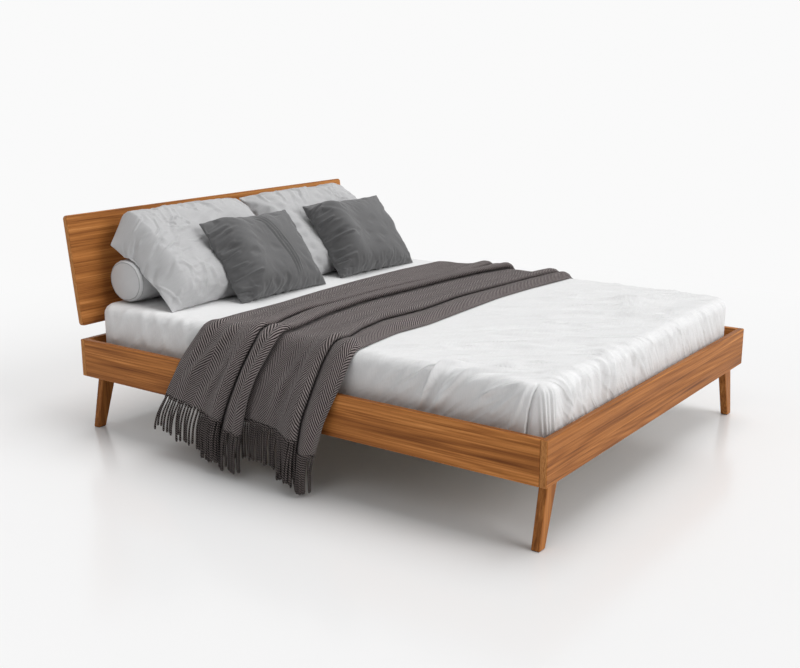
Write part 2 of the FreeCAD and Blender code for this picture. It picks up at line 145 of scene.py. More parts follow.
# %% [markdown]
# ## Floor and light
# The bed stands in a white studio. The floor is a plain sheet of pale satin finish that keeps the
# bed's shadow and a faint reflection; away from the bed it fades to the backdrop's white, so no
# horizon shows. One very soft light comes from high up on the far side, as from a row of skylights, a
# weaker one comes from beyond the foot, a faint one from the near side, and the white room fills the
# rest. The near side gets the least, so it is the darker one.

# %% Floor
frame_half_width = 0.855
frame_half_length = 1.045
fade_from, fade_to = 0.25, 2.6
backdrop = 0.955
bpy.ops.object.select_all(action="DESELECT")
bpy.ops.mesh.primitive_plane_add(size=60.0, location=(0.0, 0.0, 0.0))
floor = bpy.context.object
floor.name = "studio_floor"
print("floor of", tuple(round(v) for v in floor.dimensions[:2]), "m")

# %% Floor finish
f = Finish("studio_floor_finish")
spot = f.add("TexCoord", {}).outputs["Object"]
xyz = f.add("SeparateXYZ", {0: spot})
past_side = f.math("SUBTRACT", f.math("ABSOLUTE", xyz.outputs["X"]), frame_half_width)
past_end = f.math("SUBTRACT", f.math("ABSOLUTE", xyz.outputs["Y"]), frame_half_length)
beside = f.math("MAXIMUM", past_side, 0.0)
beyond = f.math("MAXIMUM", past_end, 0.0)
away = f.add("CombineXYZ", {0: beside, 1: beyond}).outputs[0]
reach = f.add("VectorMath", {0: away}, operation="LENGTH").outputs["Value"]
fade = f.span(reach, fade_from, fade_to)
shade = f.noise(spot, 0.6)
f.set(Base_Color=f.mix(shade, (0.855, 0.855, 0.857, 1.0), (0.870, 0.870, 0.872, 1.0)))
f.set(Roughness=f.span(shade, 0.3, 0.7, 0.16, 0.20), Specular_IOR_Level=0.30)
white = f.add("Emission", {"Color": (backdrop, backdrop, backdrop, 1.0), "Strength": 1.0})
ray = f.add("LightPath", {})
seen = f.math("MAXIMUM", ray.outputs["Is Camera Ray"], ray.outputs["Is Glossy Ray"])
seen = f.math("MAXIMUM", seen, ray.outputs["Is Transmission Ray"])
faded = f.math("MULTIPLY", fade, seen)
blend = f.add("MixShader", {0: faded, 1: f.shader.outputs[0], 2: white.outputs[0]})
f.feed(f.tree.nodes["Material Output"].inputs[0], blend.outputs[0])
floor.data.materials.append(f.material)
print("floor fades to", backdrop, "at", fade_to, "m from the bed")

# %% The white room
room = bpy.data.worlds.new("white_room")
room.use_nodes = True
scene.world = room
tree = room.node_tree
fill = tree.nodes["Background"]
fill.inputs["Color"].default_value = (1.0, 1.0, 1.0, 1.0)
fill.inputs["Strength"].default_value = 0.30
walls = tree.nodes.new("ShaderNodeBackground")
walls.inputs["Color"].default_value = (backdrop, backdrop, backdrop, 1.0)
ray = tree.nodes.new("ShaderNodeLightPath")
either = tree.nodes.new("ShaderNodeMath")
either.operation = "MAXIMUM"
tree.links.new(ray.outputs["Is Camera Ray"], either.inputs[0])
tree.links.new(ray.outputs["Is Transmission Ray"], either.inputs[1])
both = tree.nodes.new("ShaderNodeMath")
both.operation = "MAXIMUM"
tree.links.new(either.outputs[0], both.inputs[0])
tree.links.new(ray.outputs["Is Glossy Ray"], both.inputs[1])
choose = tree.nodes.new("ShaderNodeMixShader")
tree.links.new(both.outputs[0], choose.inputs[0])
tree.links.new(fill.outputs[0], choose.inputs[1])
tree.links.new(walls.outputs[0], choose.inputs[2])
tree.links.new(choose.outputs[0], tree.nodes["World Output"].inputs["Surface"])
print("room light", round(fill.inputs["Strength"].default_value, 2), "seen as", backdrop)


# %% Lamps
def soft_light(name, way, strength, spread):
    """A very wide sun: light that travels one way, softened by its angle."""
    lamp = bpy.data.objects.new(name, bpy.data.lights.new(name, "SUN"))
    scene.collection.objects.link(lamp)
    lamp.data.energy = strength
    lamp.data.angle = math.radians(spread)
    lamp.rotation_euler = Vector(way).to_track_quat("-Z", "Y").to_euler()
    print("lamp", name, strength, "W/m2")


soft_light("skylight", (-0.27, 0.05, -0.93), 1.62, 48)
soft_light("foot_light", (-0.14, 0.88, -0.45), 1.42, 40)
soft_light("near_light", (0.62, 0.10, -0.78), 0.21, 30)

# %% [markdown]
# ## Oiled wood
# The frame and the headboard are edge-glued from staves of warm brown hardwood, rubbed with oil. Each
# stave has its own tone, the grain runs along the board, and the ends of the boards show end grain.
# The pattern is worked out from the place in the bed, with the grain turned to each board's length.


# %% The wood finish
def wood(name, axes, stave, start, stops, gloss, glue, mottle=0.22):
    """axes names the directions along the grain, across the staves and through the board."""
    f = Finish(name)
    xyz = f.add("SeparateXYZ", {0: f.add("TexCoord", {}).outputs["Object"]})
    along, across, through = (xyz.outputs[a] for a in axes)
    # Each stave has its own tone, and its grain starts somewhere else along the board.
    row = f.math("DIVIDE", f.math("SUBTRACT", across, start), stave)
    tone = f.add("TexWhiteNoise", {"W": f.math("FLOOR", row)}, noise_dimensions="1D").outputs["Value"]
    shifted = f.math("ADD", along, f.math("MULTIPLY", tone, 9.0))
    grain = f.add("CombineXYZ", {0: shifted, 1: across, 2: through}).outputs[0]
    # Four patterns are drawn out along the grain: a broad figure, rings, fine streaks and pores.
    figure = f.span(f.noise(f.stretch(grain, (0.5, 16.0, 16.0)), 1.0, 5.0, 0.62, 0.5), 0.30, 0.70)
    hills = f.noise(f.stretch(grain, (0.38, 6.5, 6.5)), 1.0, 2.0, 0.45, 0.4)
    rings = f.math("SINE", f.math("MULTIPLY", hills, 105.0))
    streak = f.noise(f.stretch(grain, (1.8, 150.0, 150.0)), 1.0, 4.0, 0.6)
    pore = f.span(f.noise(f.stretch(grain, (26.0, 900.0, 900.0)), 1.0, 2.0), 0.60, 0.72)
    # Their sum picks the colour; pores and glue lines are darker.
    mood = f.math("ADD", f.math("MULTIPLY", tone, mottle), f.math("MULTIPLY", figure, 0.34))
    mood = f.math("ADD", mood, f.span(rings, -1.0, 1.0, 0.00, 0.15))
    mood = f.math("ADD", mood, f.span(streak, 0.3, 0.7, -0.14, 0.26))
    colour = f.ramp(mood, stops)
    colour = f.mix(f.math("MULTIPLY", pore, 0.35), colour, (*[v * 0.45 for v in stops[0][1]], 1.0))
    edge = f.math("ABSOLUTE", f.math("SUBTRACT", f.math("FRACT", row), 0.5))
    joint = f.math("MULTIPLY", f.span(edge, 0.488, 0.498), glue)
    colour = f.mix(joint, colour, (*[v * 0.6 for v in stops[0][1]], 1.0))
    # Faces that look along the grain show end grain.
    facing = f.add("SeparateXYZ", {0: f.add("NewGeometry", {}).outputs["Normal"]}).outputs[axes[0]]
    end = f.span(f.math("ABSOLUTE", facing), 0.72, 0.9)
    pith = f.noise(f.stretch(grain, (4.0, 60.0, 320.0)), 1.0, 4.0, 0.7)
    end_colour = f.ramp(f.span(pith, 0.3, 0.7), [(0.0, stops[1][1]), (1.0, stops[-1][1])])
    f.set(Base_Color=f.mix(end, colour, end_colour))
    f.set(Roughness=f.span(figure, 0.0, 1.0, gloss, gloss + 0.10), Specular_IOR_Level=0.10)
    height = f.math("SUBTRACT", f.math("MULTIPLY", streak, 0.5), f.math("ADD", pore, joint))
    return f.set(Normal=f.bump(height, 0.22, 0.0004))


# %% Wood on the frame
oiled = [
    (0.12, (0.150, 0.048, 0.012)),
    (0.36, (0.295, 0.106, 0.027)),
    (0.58, (0.450, 0.175, 0.047)),
    (0.88, (0.650, 0.295, 0.097)),
]
# The side rails get the oiled ramp made 1.25 times lighter: painted light on rail sides that face away from
# the main lamps.
side_rail_painted_light = 1.25
painted_light_oiled = [(stop, tuple(side_rail_painted_light * value for value in colour)) for stop, colour in oiled]
gloss = 0.42
panel_low, panel_stave = 0.4185, 0.0619
rail_low, rail_stave = 0.216, 0.05
board_start, leg_board = -1.05, 0.3
# A stave's tone comes from its number: counting from 26 staves lower gives the panel a calm run of tones.
panel_start = panel_low - 26 * panel_stave
panel_look = {"glue": 0.5, "mottle": 0.30}
panel_wood = wood("oiled_wood_headboard", "XZY", panel_stave, panel_start, oiled, gloss, **panel_look)
end_rail_wood = wood("oiled_wood_end_rails", "XZY", rail_stave, rail_low, oiled, gloss, glue=0.35)
side_rail_wood = wood("oiled_wood_side_rails_painted_lighter", "YZX", rail_stave, rail_low, painted_light_oiled, gloss, glue=0.35)
leg_wood = wood("oiled_wood_legs", "ZXY", leg_board, board_start, oiled, gloss, glue=0.0)
paint(["headboard_panel"], panel_wood)
paint(["head_rail", "foot_rail"], end_rail_wood)
paint(["side_rail_left", "side_rail_right"], side_rail_wood)
paint(["leg_foot_left", "leg_foot_right", "leg_head_left", "leg_head_right"], leg_wood)

# %% [markdown]
# ## The hidden base
# Slats, ledgers, beam and centre leg are plain pale softwood with no finish, so the same grain is used
# in lighter tones. The steel is zinc plated: dull grey crystals of slightly different brightness. The
# glides under the feet are dark felt, which is only a fuzzy noise in colour and height.

# %% Pale wood on the base
pale = [
    (0.22, (0.300, 0.230, 0.160)),
    (0.42, (0.390, 0.315, 0.230)),
    (0.62, (0.450, 0.375, 0.285)),
    (0.85, (0.520, 0.445, 0.350)),
]
dull = 0.55
slat_pitch, slat_start = 0.1469, -0.9969
whole_board = 0.4
slat_names = [f"slat_{k + 1:02d}" for k in range(14)]
paint(slat_names, wood("slat_wood_across", "XYZ", slat_pitch, slat_start, pale, dull, glue=0.0))
lengthwise = ["ledger_left", "ledger_right", "centre_beam", "corner_dowels"]
paint(lengthwise, wood("slat_wood_along", "YXZ", whole_board, board_start, pale, dull, glue=0.0))
paint(["centre_leg"], wood("slat_wood_upright", "ZXY", whole_board, board_start, pale, dull, glue=0.0))

# %% Zinc on the steel
f = Finish("zinc_steel_finish")
spot = f.add("TexCoord", {}).outputs["Object"]
crystal = f.add("TexVoronoi", {"Vector": spot, "Scale": 260.0}).outputs["Color"]
cloud = f.noise(spot, 90.0, 4.0)
grey = f.add("SeparateColor", {0: crystal}).outputs[0]
f.set(Base_Color=f.ramp(grey, [(0.0, (0.46, 0.47, 0.48)), (1.0, (0.62, 0.63, 0.645))]))
f.set(Metallic=1.0, Roughness=f.span(cloud, 0.3, 0.7, 0.30, 0.48))
zinc = f.set(Normal=f.bump(cloud, 0.08, 0.0003))
paint(
    [
        "headboard_strap_left", "headboard_strap_right", "headboard_screws", "strap_bolts",
        "corner_angles", "corner_angle_screws", "leg_bolts", "leg_washers", "ledger_screws",
        "slat_screws", "beam_hanger_foot", "beam_hanger_head", "beam_hanger_screws", "centre_leg_stud",
    ],
    zinc,
)

# %% Felt on the glides
f = Finish("felt_finish")
spot = f.add("TexCoord", {}).outputs["Object"]
fuzz = f.noise(spot, 900.0, 5.0, 0.7)
f.set(Base_Color=f.ramp(fuzz, [(0.3, (0.025, 0.024, 0.024)), (0.7, (0.085, 0.082, 0.080))]))
f.set(Roughness=0.95, Sheen_Weight=0.4)
paint(["felt_glides"], f.set(Normal=f.bump(fuzz, 0.5, 0.001)))

# %% [markdown]
# ## The mattress core
# Under the sheet is a quilted mattress: a block with rounded corners and edges, covered in striped
# ticking and stitched through in diamonds. A cube is bevelled into the block, remeshed so that it has
# even faces, and the stitching is pressed in. It shows between the slats and when the mattress lifts.


# %% Helpers to read, move and reshape a mesh
def points(piece):
    flat = np.empty(len(piece.data.vertices) * 3)
    piece.data.vertices.foreach_get("co", flat)
    return flat.reshape(-1, 3)


def move_points(piece, places):
    piece.data.vertices.foreach_set("co", np.ascontiguousarray(places).ravel())
    piece.data.update()


def apply_all(piece):
    bpy.ops.object.select_all(action="DESELECT")
    piece.select_set(True)
    bpy.context.view_layer.objects.active = piece
    for name in [m.name for m in piece.modifiers]:
        bpy.ops.object.modifier_apply(modifier=name)


def box_of(piece):
    """The lowest and the highest corner of a mesh, rounded for printing."""
    place = points(piece)
    return [[round(float(v), 3) for v in end] for end in (place.min(axis=0), place.max(axis=0))]


def remesh(piece, cell):
    """Give a closed piece even faces of one size."""
    even = piece.modifiers.new("even_faces", "REMESH")
    even.mode = "VOXEL"
    even.voxel_size = cell
    apply_all(piece)


def bevel_edges(piece, test, width, segments):
    """Round the edges whose two end points pass the test."""
    bpy.ops.object.mode_set(mode="EDIT")
    bpy.ops.mesh.select_all(action="DESELECT")
    bpy.ops.object.mode_set(mode="OBJECT")
    for edge in piece.data.edges:
        a, b = (piece.data.vertices[k].co for k in edge.vertices)
        edge.select = test(a, b)
    bpy.ops.object.mode_set(mode="EDIT")
    bpy.ops.mesh.select_mode(type="EDGE")
    bpy.ops.mesh.bevel(offset=width, segments=segments, profile=0.5)
    bpy.ops.object.mode_set(mode="OBJECT")


# %% Quilted core
bed_width, bed_length = 1.6, 2.0
bed_top = 0.5053
bed_low = 0.3053
corner = 0.07
slack = 0.018
top_gap = 0.004
low_gap = 0.00165
core_height = bed_top - top_gap - bed_low - low_gap
core_mid = (bed_low + low_gap + bed_top - top_gap) / 2
bpy.ops.object.select_all(action="DESELECT")
bpy.ops.mesh.primitive_cube_add(size=1.0, location=(0.0, 0.0, core_mid))
core = bpy.context.object
core.name = "mattress_quilted_core"
core.scale = (bed_width - 2 * slack, bed_length - 2 * slack, core_height)
bpy.ops.object.transform_apply(location=True, rotation=False, scale=True)
bevel_edges(core, lambda a, b: abs(a.z - b.z) > 0.1, corner - slack, segments=7)
bevel_edges(core, lambda a, b: abs(a.z - b.z) < 0.001, 0.036, segments=5)
remesh(core, cell=0.016)
print("core", box_of(core))

# %% Stitching pressed into the core
pitch = 0.17
stitch_depth, stitch_width = 0.008, 0.018
top_and_underside = 0.094
place = points(core)
side = np.sign(place[:, 2] - core_mid)
level = np.abs(place[:, 2] - core_mid) > top_and_underside
rows_both_ways = [(place[:, 0] + place[:, 1]) / pitch, (place[:, 0] - place[:, 1]) / pitch]
gap = np.min([np.abs(n - np.round(n)) * pitch / math.sqrt(2) for n in rows_both_ways], axis=0)
place[:, 2] -= level * side * stitch_depth * np.exp(-((gap / stitch_width) ** 2))
move_points(core, place)
bpy.ops.object.shade_smooth()
print("core faces:", len(core.data.polygons))

# %% Ticking on the core
stripe_pitch = 0.024
f = Finish("ticking_finish")
spot = f.add("TexCoord", {}).outputs["Object"]
across = f.add("SeparateXYZ", {0: spot}).outputs["X"]
share = f.math("FRACT", f.math("DIVIDE", across, stripe_pitch))
stripe = f.math("ABSOLUTE", f.math("SUBTRACT", share, 0.5))
thin = f.span(stripe, 0.06, 0.09, 1.0, 0.0)
fleck = f.noise(spot, 700.0)
cream = f.mix(fleck, (0.70, 0.68, 0.62, 1.0), (0.82, 0.80, 0.75, 1.0))
f.set(Base_Color=f.mix(f.math("MULTIPLY", thin, 0.7), cream, (0.30, 0.34, 0.40, 1.0)))
f.set(Roughness=0.85, Normal=f.bump(fleck, 0.25, 0.0006))
core.data.materials.append(f.material)
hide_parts("mattress_core")
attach(core, "mattress")
print("ticking striped every", stripe_pitch, "m")

# %% [markdown]
# ## The fitted sheet
# A fitted sheet is one flat cloth whose corners are taken in, pulled over the mattress and turned
# under its rim. It is made the same way: a flat grid, closer where the creases are, is bent over the
# edges, and at the corners the grid's square is drawn round. Creases are then raised on it: long
# faint ones across the top, gathers pulled down over the foot, folds on the sides, and a tuck at the
# near foot corner. A cloth simulation would give creases too, but not where this sheet has them.

# %% Flat sheet, with closer rows where it creases
edge = 0.04
shelf = corner - edge
arc = edge * math.pi / 2
wall = 0.12
turned_under = 0.028
skirt = shelf + arc + wall + arc + turned_under
flat_x = bed_width / 2 - corner
flat_y = bed_length / 2 - corner
near_edge = flat_x + skirt
foot_edge = flat_y + skirt
bpy.ops.object.select_all(action="DESELECT")
bpy.ops.mesh.primitive_grid_add(x_subdivisions=236, y_subdivisions=196, size=1.0)
sheet = bpy.context.object
sheet.name = "fitted_sheet_cloth"
grid = points(sheet)
share_x = [0.0, 0.22, 0.60, 0.88, 1.0]
share_y = [0.0, 0.22, 0.61, 0.67, 0.70, 0.91, 1.0]
s = np.interp(grid[:, 0] + 0.5, share_x, [-near_edge, -flat_x, 0.0, flat_x, near_edge])
t = np.interp(grid[:, 1] + 0.5, share_y, [-foot_edge, -flat_y, -0.50, -0.32, 0.42, flat_y, foot_edge])
print("sheet cut to", round(2 * near_edge, 3), "x", round(2 * foot_edge, 3), "m, skirt", round(skirt, 3))


# %% Bending the sheet over the mattress
def over_mattress(s, t):
    """Lay points of the flat sheet on the mattress.

    Gives their places, the outward normals, the turn round a corner and the run down from the flat top.
    """
    in_s = np.clip(s, -flat_x, flat_x)
    in_t = np.clip(t, -flat_y, flat_y)
    a = np.abs(s - in_s)
    b = np.abs(t - in_t)
    run = np.maximum(a, b)
    small = np.minimum(a, b) / np.maximum(run, 1e-9)
    turn = np.where(a >= b, small * math.pi / 4, math.pi / 2 - small * math.pi / 4)
    out = np.stack([np.cos(turn) * np.sign(s), np.sin(turn) * np.sign(t)], axis=1)
    first = np.clip(run, 0, shelf)
    bend = np.clip(run - shelf, 0, arc) / edge
    down = np.clip(run - shelf - arc, 0, wall)
    under = np.clip(run - shelf - arc - wall, 0, arc) / edge
    back = np.maximum(run - shelf - 2 * arc - wall, 0)
    wide = first + edge * np.sin(bend) - edge * (1 - np.cos(under)) - back
    high = bed_top - edge * (1 - np.cos(bend)) - down - edge * np.sin(under)
    lean = bend + under
    place = np.stack([in_s + out[:, 0] * wide, in_t + out[:, 1] * wide, high], axis=1)
    normal = np.stack([out[:, 0] * np.sin(lean), out[:, 1] * np.sin(lean), np.cos(lean)], axis=1)
    return place, normal, turn, run


place, normal, turn, run = over_mattress(s, t)
print("sheet hangs down to", round(place[:, 2].min(), 4), "m")


# %% A crease along a path
def smooth(value):
    """An even step from 0 to 1 that starts and ends gently."""
    value = np.clip(value, 0.0, 1.0)
    return value * value * (3 - 2 * value)


def crease(s, t, path, width, height, rise=0.5):
    """A soft ridge along a path on the flat sheet, with a shallow dip on each side of it."""
    path = np.asarray(path)
    margin = 4 * width
    low = path.min(axis=0) - margin
    high = path.max(axis=0) + margin
    near = np.where((s > low[0]) & (s < high[0]) & (t > low[1]) & (t < high[1]))[0]
    lift = np.zeros(len(s))
    best = np.full(len(near), 9.0)
    when = np.zeros(len(near))
    steps = len(path) - 1
    for k in range(steps):
        d = path[k + 1] - path[k]
        along = ((s[near] - path[k][0]) * d[0] + (t[near] - path[k][1]) * d[1]) / (d @ d)
        along = np.clip(along, 0, 1)
        gap = np.hypot(s[near] - path[k][0] - along * d[0], t[near] - path[k][1] - along * d[1])
        closer = gap < best
        best = np.where(closer, gap, best)
        when = np.where(closer, (k + along) / steps, when)
    fade = smooth(np.clip(when / rise, 0, 1) * np.clip((1 - when) / 0.18, 0, 1))
    ridge = np.exp(-((best / width) ** 2)) - 0.3 * np.exp(-(((best - 1.8 * width) / width) ** 2))
    lift[near] = height * fade * ridge
    return lift


# %% Long creases across the top
rng = np.random.default_rng(7)
lift = np.zeros(len(s))
pull_angle = 54
for k in range(140):
    start = np.array([rng.uniform(-0.78, 0.60), rng.uniform(-0.80, -0.28)])
    angle = math.radians(rng.normal(-pull_angle, 6))
    way = np.array([math.cos(angle), math.sin(angle)]) * rng.uniform(0.16, 0.50)
    bow = np.array([-way[1], way[0]]) * rng.normal(0, 0.05)
    path = [start, start + way * 0.5 + bow, start + way]
    lift += crease(s, t, path, rng.uniform(0.006, 0.012), rng.uniform(0.0030, 0.0095))
print("top creases raise the sheet by up to", round(lift.max() * 1000, 1), "mm")

# %% Gathers pulled down over the foot, strong near the photographed corner and faint at the far one
x = -flat_x + 0.015
over_foot = -flat_y - 0.015
gathers = 0
while x < bed_width / 2:
    share = x / bed_width + 0.5
    reach = rng.uniform(0.05, 0.42) * (1 - 0.35 * share)
    slant = rng.normal(0.72, 0.10)
    drop = rng.uniform(0.12, 0.22)
    spread = rng.normal(0.30, 0.10) * (1 - 0.5 * share)
    path = [
        (x - slant * reach, -flat_y + reach),
        (x - slant * reach * 0.35, -flat_y + reach * 0.35),
        (x + 0.01, over_foot),
        (x + 0.01 + spread * drop * 0.6, over_foot - drop * 0.5),
        (x + 0.01 + spread * drop * 0.8, over_foot - drop),
    ]
    strong = rng.uniform(0.25, 1.0) ** 1.3 * (1 - 0.78 * share) + 0.05
    lift += crease(s, t, path, rng.uniform(0.006, 0.013), 0.0150 * strong, rise=0.7)
    x += rng.uniform(0.014, 0.055) * (0.7 + 1.8 * share)
    gathers += 1
print("gathers over the foot:", gathers)

# %% Folds down the near and the far side, and a fan at the near foot corner
for k in range(24):
    y = rng.uniform(-0.93, -0.36)
    reach = min(rng.uniform(0.05, 0.24), max(0.02, (y + 0.95) / 0.81))
    lean = rng.uniform(0.06, 0.18)
    path = [
        (-flat_x + 0.58 * reach, y - 0.81 * reach),
        (-flat_x + 0.20 * reach, y - 0.30 * reach),
        (-flat_x - 0.04, y + 0.2 * lean),
        (-flat_x - 0.12, y + 0.6 * lean),
        (-flat_x - 0.21, y + lean),
    ]
    strong = 0.5 + 0.5 * np.clip((-0.5 - y) / 0.3, 0, 1)
    lift += crease(s, t, path, rng.uniform(0.008, 0.016), rng.uniform(0.006, 0.0140) * strong, rise=0.6)
for k in range(26):
    y = -0.92 + 0.06 * k + rng.normal(0, 0.015)
    path = [(flat_x - 0.02, y + 0.05), (flat_x + 0.08, y + 0.02), (flat_x + 0.20, y)]
    lift += crease(s, t, path, rng.uniform(0.010, 0.018), rng.uniform(0.0015, 0.0035) * (y < -0.36))
fan_start = np.array([-flat_x - 0.035, -flat_y - 0.02])
for angle in np.radians([20, 44, 66]):
    way = np.array([-math.cos(angle), math.sin(angle)])
    path = [fan_start + way * d for d in (0.0, 0.05, 0.10, 0.15, 0.20)]
    lift += crease(s, t, path, 0.008, 0.0080, rise=0.2)
print("with the sides' folds, up to", round(lift.max() * 1000, 1), "mm")

# %% Smooth under the throw, faint folds at the head, and no dip down to the core
under_throw = -0.31
deepest = -0.0025
lift *= smooth((under_throw - t) / 0.05)
for k in range(26):
    y = rng.uniform(0.46, 0.96)
    lean = rng.normal(0.03, 0.09)
    path = [(-flat_x - 0.03, y - 1.2 * lean), (-flat_x - 0.10, y - 0.7 * lean), (-flat_x - 0.21, y)]
    lift += crease(s, t, path, rng.uniform(0.012, 0.020), rng.uniform(0.0015, 0.0048), rise=0.3)
lift = np.maximum(lift, deepest)
print("creases raise the sheet by up to", round(lift.max() * 1000, 1), "mm")

# %% The tuck at the near foot corner
# A slit runs down the corner, at the angle side_line. Past it, on the foot's side, the cloth is pressed in;
# before it, on the long side, a flap stands out.
in_corner = (s < -flat_x) & (t < -flat_y)
side_line = np.radians(np.interp(run, [0.05, 0.075, 0.13, 0.24], [34, 24, 11, 2]))
past = np.where(in_corner, (turn - side_line) * corner, np.where(s < -flat_x, t + flat_y, 1.0))
past = np.where(in_corner, past, np.where(t > -flat_y, -(t + flat_y) - 0.012, past))
depth = np.clip((run - 0.034) / 0.02, 0, 1) * np.clip((0.245 - run) / 0.03, 0, 1) * (s < -flat_x)
deep = 0.0115 * np.exp(-((past / 0.010) ** 2)) + 0.004 * np.exp(-((past / 0.050) ** 2))
recess = -deep * np.clip(past / 0.001, 0, 1)
flap = 0.009 * np.exp(-((np.minimum(past, 0) / 0.045) ** 2))
lift += depth * np.where(past > 0, recess, flap)
print("tuck is", round(deep.max() * 1000, 1), "mm deep")

# %% Folds beside the tuck, and the flap's edge drawn over the slit
on_wall = smooth((run - 0.03) / 0.05) * smooth((0.235 - run) / 0.04)
for angle, high in ((46, 0.006), (56, 0.010), (66, 0.008), (77, 0.012), (88, 0.009)):
    off = (turn - math.radians(angle) - (run - 0.15) * 1.2) * corner
    lift += in_corner * on_wall * high * np.exp(-((off / 0.0045) ** 2))
place += normal * lift[:, None]
hem = depth * np.where(past > 0, 0.0, 0.004 * np.exp(-((past / 0.012) ** 2)))
place[:, 0] += hem * np.sin(side_line)
place[:, 1] -= hem * np.cos(side_line)
move_points(sheet, place)
print("sheet", box_of(sheet))


# %% The sheet's flat coordinates and thickness
def set_flat(piece, flat):
    """Write each point's place on the flat cloth, in metres, as the piece's UV map."""
    point_of = np.empty(len(piece.data.loops), dtype=int)
    piece.data.loops.foreach_get("vertex_index", point_of)
    piece.data.uv_layers.active.data.foreach_set("uv", flat[point_of].ravel())


set_flat(sheet, np.stack([s, t], axis=1))
thick = sheet.modifiers.new("cloth_thickness", "SOLIDIFY")
thick.thickness = 0.0012
thick.offset = -1.0
apply_all(sheet)
bpy.ops.object.shade_smooth()
print("sheet faces:", len(sheet.data.polygons))


# %% [markdown]
# ## Woven cotton
# The sheet, the roll, the pillows and the cushions are all plain woven cotton in different shades. Up
# close it is threads crossing over and under; further off it is a matt colour with slight clouds.
# The threads follow each piece's own flat coordinates in metres, so they bend with the cloth. The
# sheet's main creases are in its mesh; a bump adds the finest ones, pulled the same way.


# %% The cotton finish
def cotton(name, shade, thread, cloud=0.05, sheen=0.15, wrinkle=0.0):
    """Plain weave; thread is the distance between threads, wrinkle the height of the finest creases."""
    f = Finish(name)
    flat = f.add("UVMap", {}).outputs[0]
    u, v = f.add("SeparateXYZ", {0: flat}).outputs[:2]
    turns = 2 * math.pi / thread
    warp = f.math("SINE", f.math("MULTIPLY", u, turns))
    weft = f.math("SINE", f.math("MULTIPLY", v, turns))
    cross = f.math("MULTIPLY", warp, weft)
    slub = f.noise(f.stretch(flat, (30.0, 240.0, 1.0)), 1.0, 4.0, 0.6)
    mist = f.noise(f.stretch(flat, (5.0, 5.0, 1.0)), 1.0, 3.0)
    tone = f.math("ADD", f.span(mist, 0.3, 0.7, -cloud, cloud), f.span(slub, 0.3, 0.7, -0.04, 0.04))
    tone = f.math("ADD", tone, f.math("MULTIPLY", cross, 0.03))
    dark = (*[value * 0.82 for value in shade], 1.0)
    light = (*[min(value * 1.18, 0.92) for value in shade], 1.0)
    f.set(Base_Color=f.mix(f.span(tone, -0.2, 0.2), dark, light))
    f.set(Roughness=f.span(slub, 0.3, 0.7, 0.80, 0.92), Sheen_Weight=sheen, Specular_IOR_Level=0.2)
    weave = f.bump(f.math("ADD", cross, slub), 0.25, 0.00025)
    if wrinkle:
        pull = {"Vector": flat, "Angle": math.radians(pull_angle)}
        turned = f.add("VectorRotate", pull, rotation_type="Z_AXIS").outputs[0]
        pulled = f.noise(f.stretch(turned, (2.0, 20.0, 1.0)), 1.0, 2.0, 0.50, 0.5)
        ridge = f.span(f.math("ABSOLUTE", f.math("SUBTRACT", pulled, 0.5)), 0.0, 0.18, 1.0, 0.0)
        slept_on = f.span(v, -0.75, -0.20, 1.0, 0.25)
        past_x = f.math("SUBTRACT", f.math("ABSOLUTE", u), flat_x)
        past_y = f.math("SUBTRACT", f.math("ABSOLUTE", v), flat_y)
        off_corner = f.span(f.math("MINIMUM", past_x, past_y), -0.03, 0.01, 1.0, 0.0)
        height = f.math("MULTIPLY", ridge, f.math("MULTIPLY", slept_on, off_corner))
        weave = f.bump(height, 1.0, wrinkle, weave)
    return f.set(Normal=weave)


# %% Cotton on the sheet
sheet_thread = 0.0016
off_white = (0.81, 0.81, 0.815)
sheet_cotton = cotton("white_sheet_cotton", off_white, sheet_thread, cloud=0.02, sheen=0.05, wrinkle=0.0042)
sheet.data.materials.append(sheet_cotton)
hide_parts("fitted_sheet")
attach(sheet, "mattress")

# %% [markdown]
# ## Stuffed pieces
# A stuffed cover is flat cloth sewn round its rim and filled until it is tight. Blender's cloth can do
# just that: a thin closed case is blown up by pressure with gravity off, and the cloth gathers along
# the seams by itself. A few gentle waves in the flat case decide where the puckers start.


# %% Sewing a flat case and filling it
def sewn_case(name, width, height, cell, seed):
    """A flat closed case, two layers sewn at the rim, with its cloth coordinates in metres."""
    across, up = round(width / cell), round(height / cell)
    bpy.ops.object.select_all(action="DESELECT")
    bpy.ops.mesh.primitive_grid_add(x_subdivisions=across, y_subdivisions=up, size=1.0)
    case = bpy.context.object
    case.name = name
    case.scale = (width, height, 1.0)
    bpy.ops.object.transform_apply(location=False, rotation=False, scale=True)
    uv = case.data.uv_layers.active.data
    flat = np.empty(len(uv) * 2)
    uv.foreach_get("uv", flat)
    uv.foreach_set("uv", (flat.reshape(-1, 2) * (width, height)).ravel())
    layers = case.modifiers.new("two_layers", "SOLIDIFY")
    layers.thickness = 0.006
    layers.offset = 0.0
    apply_all(case)
    place = points(case)
    flat = place * (2 / width, 2 / height, 1.0)
    rng = np.random.default_rng(seed)
    wave = np.zeros(len(place))
    for k in range(9):
        angle, phase, size = rng.uniform(0, math.pi), rng.uniform(0, 6.3), rng.uniform(0.05, 0.14)
        along = place[:, 0] * math.cos(angle) + place[:, 1] * math.sin(angle)
        wave += 0.0011 * np.sin(2 * math.pi / size * along + phase)
    rim = 0.012
    inside = (np.abs(place[:, 0]) < width / 2 - rim) & (np.abs(place[:, 1]) < height / 2 - rim)
    place[:, 2] += wave * inside * np.where(place[:, 2] > 0, 1.0, -1.0)
    move_points(case, place)
    return case, flat


